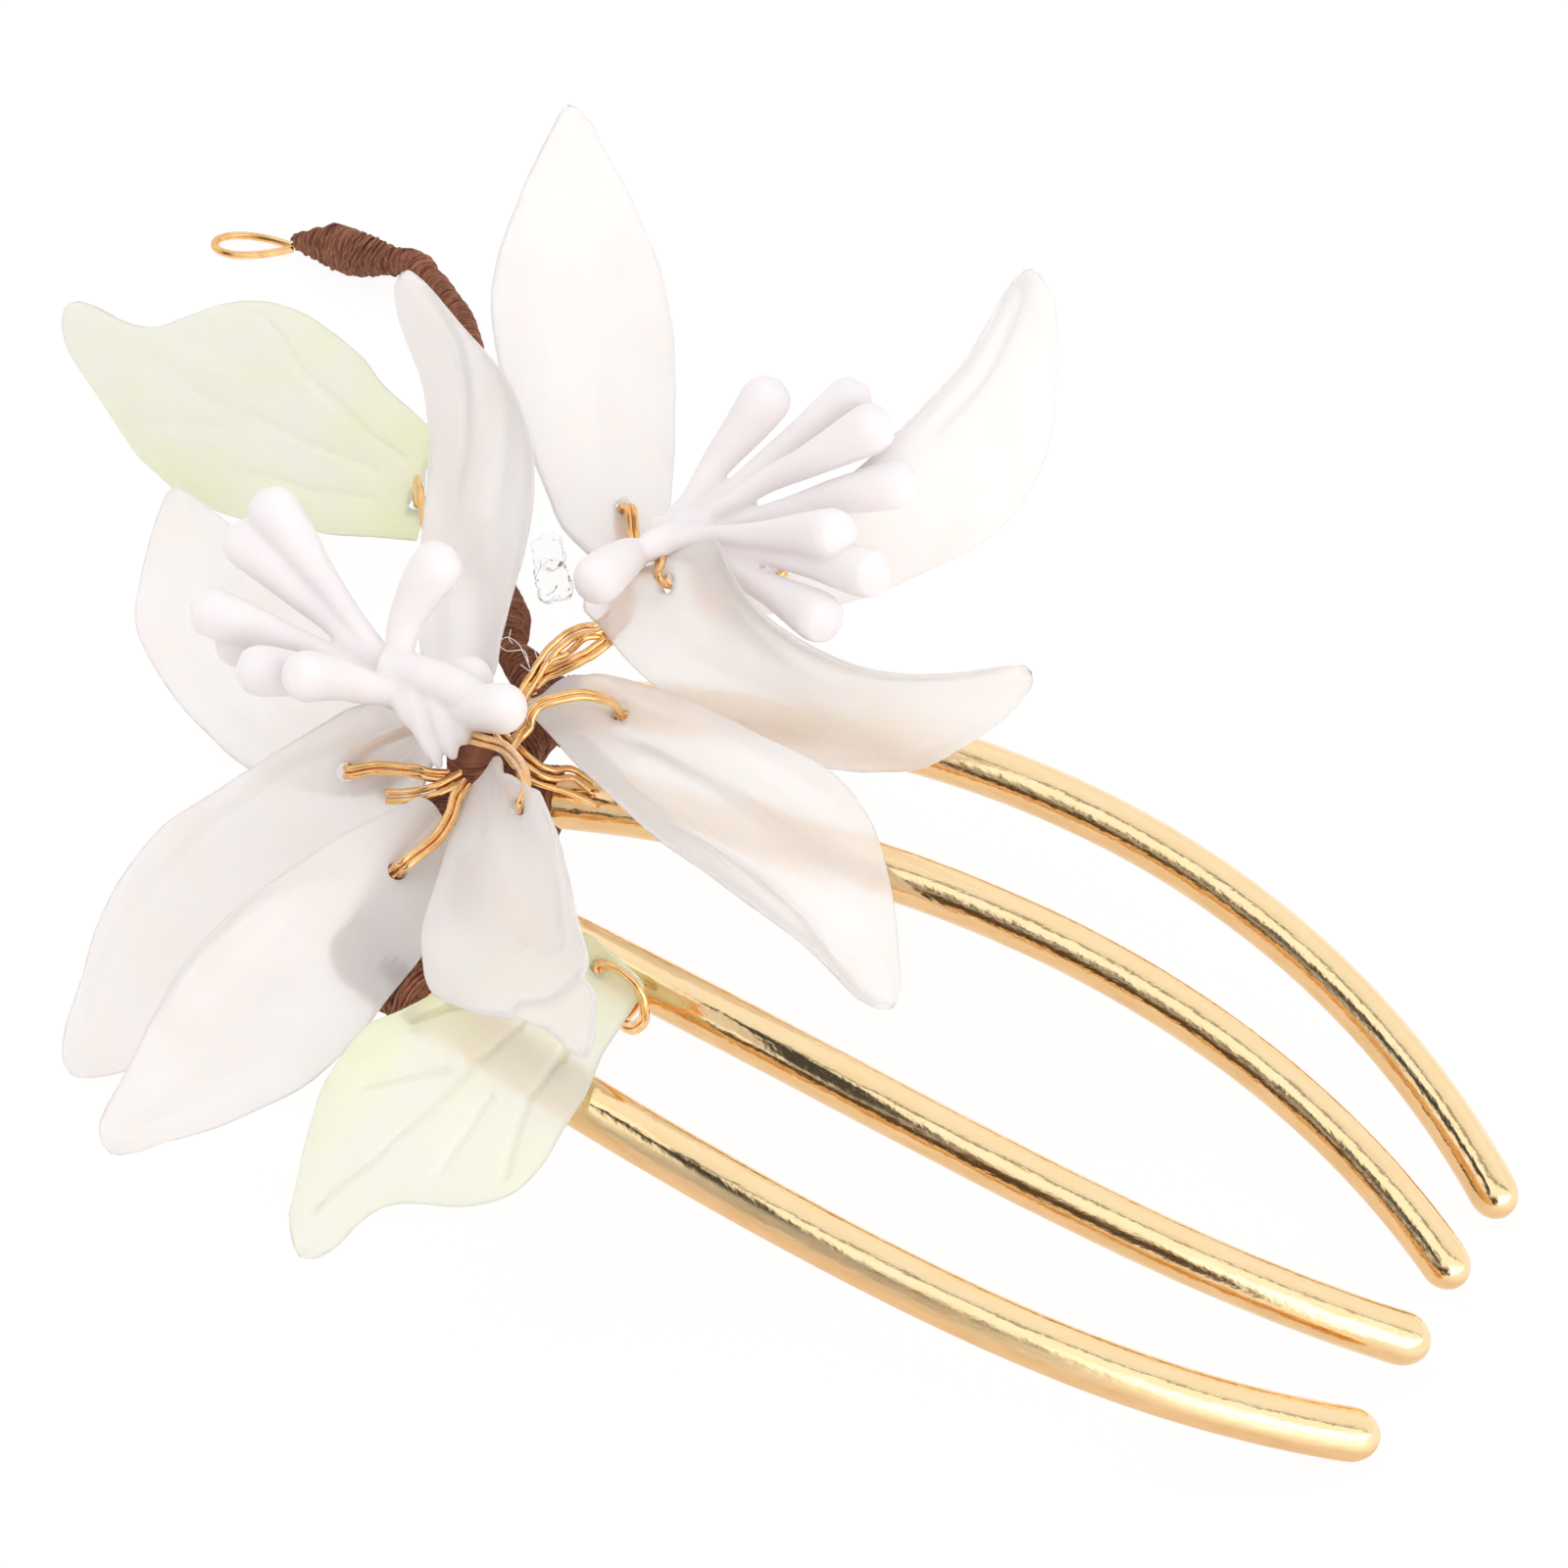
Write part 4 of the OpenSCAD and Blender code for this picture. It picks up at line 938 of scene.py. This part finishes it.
clay, tree, shader = new_finish("matt_white_clay")
here = node(tree, "ShaderNodeTexCoord", {}).outputs["Object"]
soft = speckle(tree, here, 220.0, 3.0)
grain = speckle(tree, here, 2600.0, 3.0)
plug(tree, shader, {
    "Base Color": ramp(tree, soft, (0.35, (0.80, 0.755, 0.765)), (0.65, (0.84, 0.80, 0.80))), "Roughness": 0.6,
    "Subsurface Weight": 0.5, "Subsurface Radius": (1.0, 0.85, 0.85), "Subsurface Scale": 0.0012})
bumps(tree, shader, (soft, 0.15, 0.3), (grain, 0.02, 0.3))

for name, ((foot, gather), heads) in STAMENS.items():
    bm = bmesh.new()
    for n, h in enumerate(heads):
        start, head = Vector(foot), Vector(h[:3])
        bend_at = Vector(h[3:] or gather)
        top = head + (head - bend_at).normalized() * HEAD_WIDE * 0.47
        line, size = [], []
        for i in range(STEM_STEPS + 1):
            t = i / STEM_STEPS
            p = start * (1 - t) ** 2 + bend_at * 2 * t * (1 - t) + top * t * t
            stray = [noise.noise(p * 0.3 + Vector(other)) for other in ((n * 5, 0, 0), (0, n * 5, 9))]
            line.append(p + Vector((*stray, 0)) * 0.35 * math.sin(math.pi * t))
        far = run_of(line)
        for along in far:
            left = (far[-1] - along) / (HEAD_WIDE / 2)
            taper = 0.34 + 0.66 * math.exp(-(max(0, left - 1) / 3.5) ** 1.4)
            size.append(max(0.05, HEAD_WIDE / 2 * round_end(left, 1) * taper))
        tube(bm, line, size, 18)
    for a, b, wide, narrow in FOOT_FINGERS[name]:
        a, b = Vector(a), Vector(b)
        line = [a.lerp(b, k / 10) + Vector((0, 0, 0.35 * math.sin(math.pi * k / 10))) for k in range(11)]
        tube(bm, line, [(wide + (narrow - wide) * k / 10) * round_end(10.3 - k, 3) for k in range(11)], 14)
    made = piece("stamen_bunch_" + name, bm, clay, "stamen", "stamens_" + name)
    press = made.modifiers.new("press", "REMESH")
    press.mode, press.voxel_size, press.use_smooth_shade = "VOXEL", 0.16 * MM, True
    smooth = made.modifiers.new("smooth", "SMOOTH")
    smooth.iterations, smooth.factor = 6, 0.5
    settle(made)

# ---------------------------------------------------------------------------
# Glue
# A clear drop of glue that holds the three-petal flower's stem to its
# petals. It has set with a rounded skin.
# ---------------------------------------------------------------------------
clear, tree, shader = new_finish("clear_glue")
ripple = speckle(tree, node(tree, "ShaderNodeTexCoord", {}).outputs["Object"], 900.0, 2.0)
plug(tree, shader, {"Base Color": (0.98, 0.98, 0.98, 1), "Transmission Weight": 1, "IOR": 1.16,
                    "Roughness": spread(tree, ripple, 0.0, 1.0, 0.08, 0.2)})
bumps(tree, shader, (ripple, 0.06, 0.4))
bm = bmesh.new()
for middle, big, seed in (((-1.2, 16.9, 20.2), (1.2, 1.8, 0.7), 3), ((-2.7, 19.2, 20), (1.0, 1.7, 0.4), 8)):
    for v in bmesh.ops.create_icosphere(bm, subdivisions=5, radius=1)["verts"]:
        wrinkled = 1 + 0.28 * noise.noise(v.co * 1.3 + Vector((seed, 0, 0)))
        wrinkled += 0.12 * noise.noise(v.co * 3.5 + Vector((0, seed, 0)))
        spot = Vector((v.co.x * big[0], v.co.y * big[1], v.co.z * big[2])) * wrinkled
        v.co = (Vector(middle) + Matrix.Rotation(0.5, 3, "Z") @ spot + SHIFT) * MM
piece("glue_blob", bm, clear, "glue", "glue_drop")
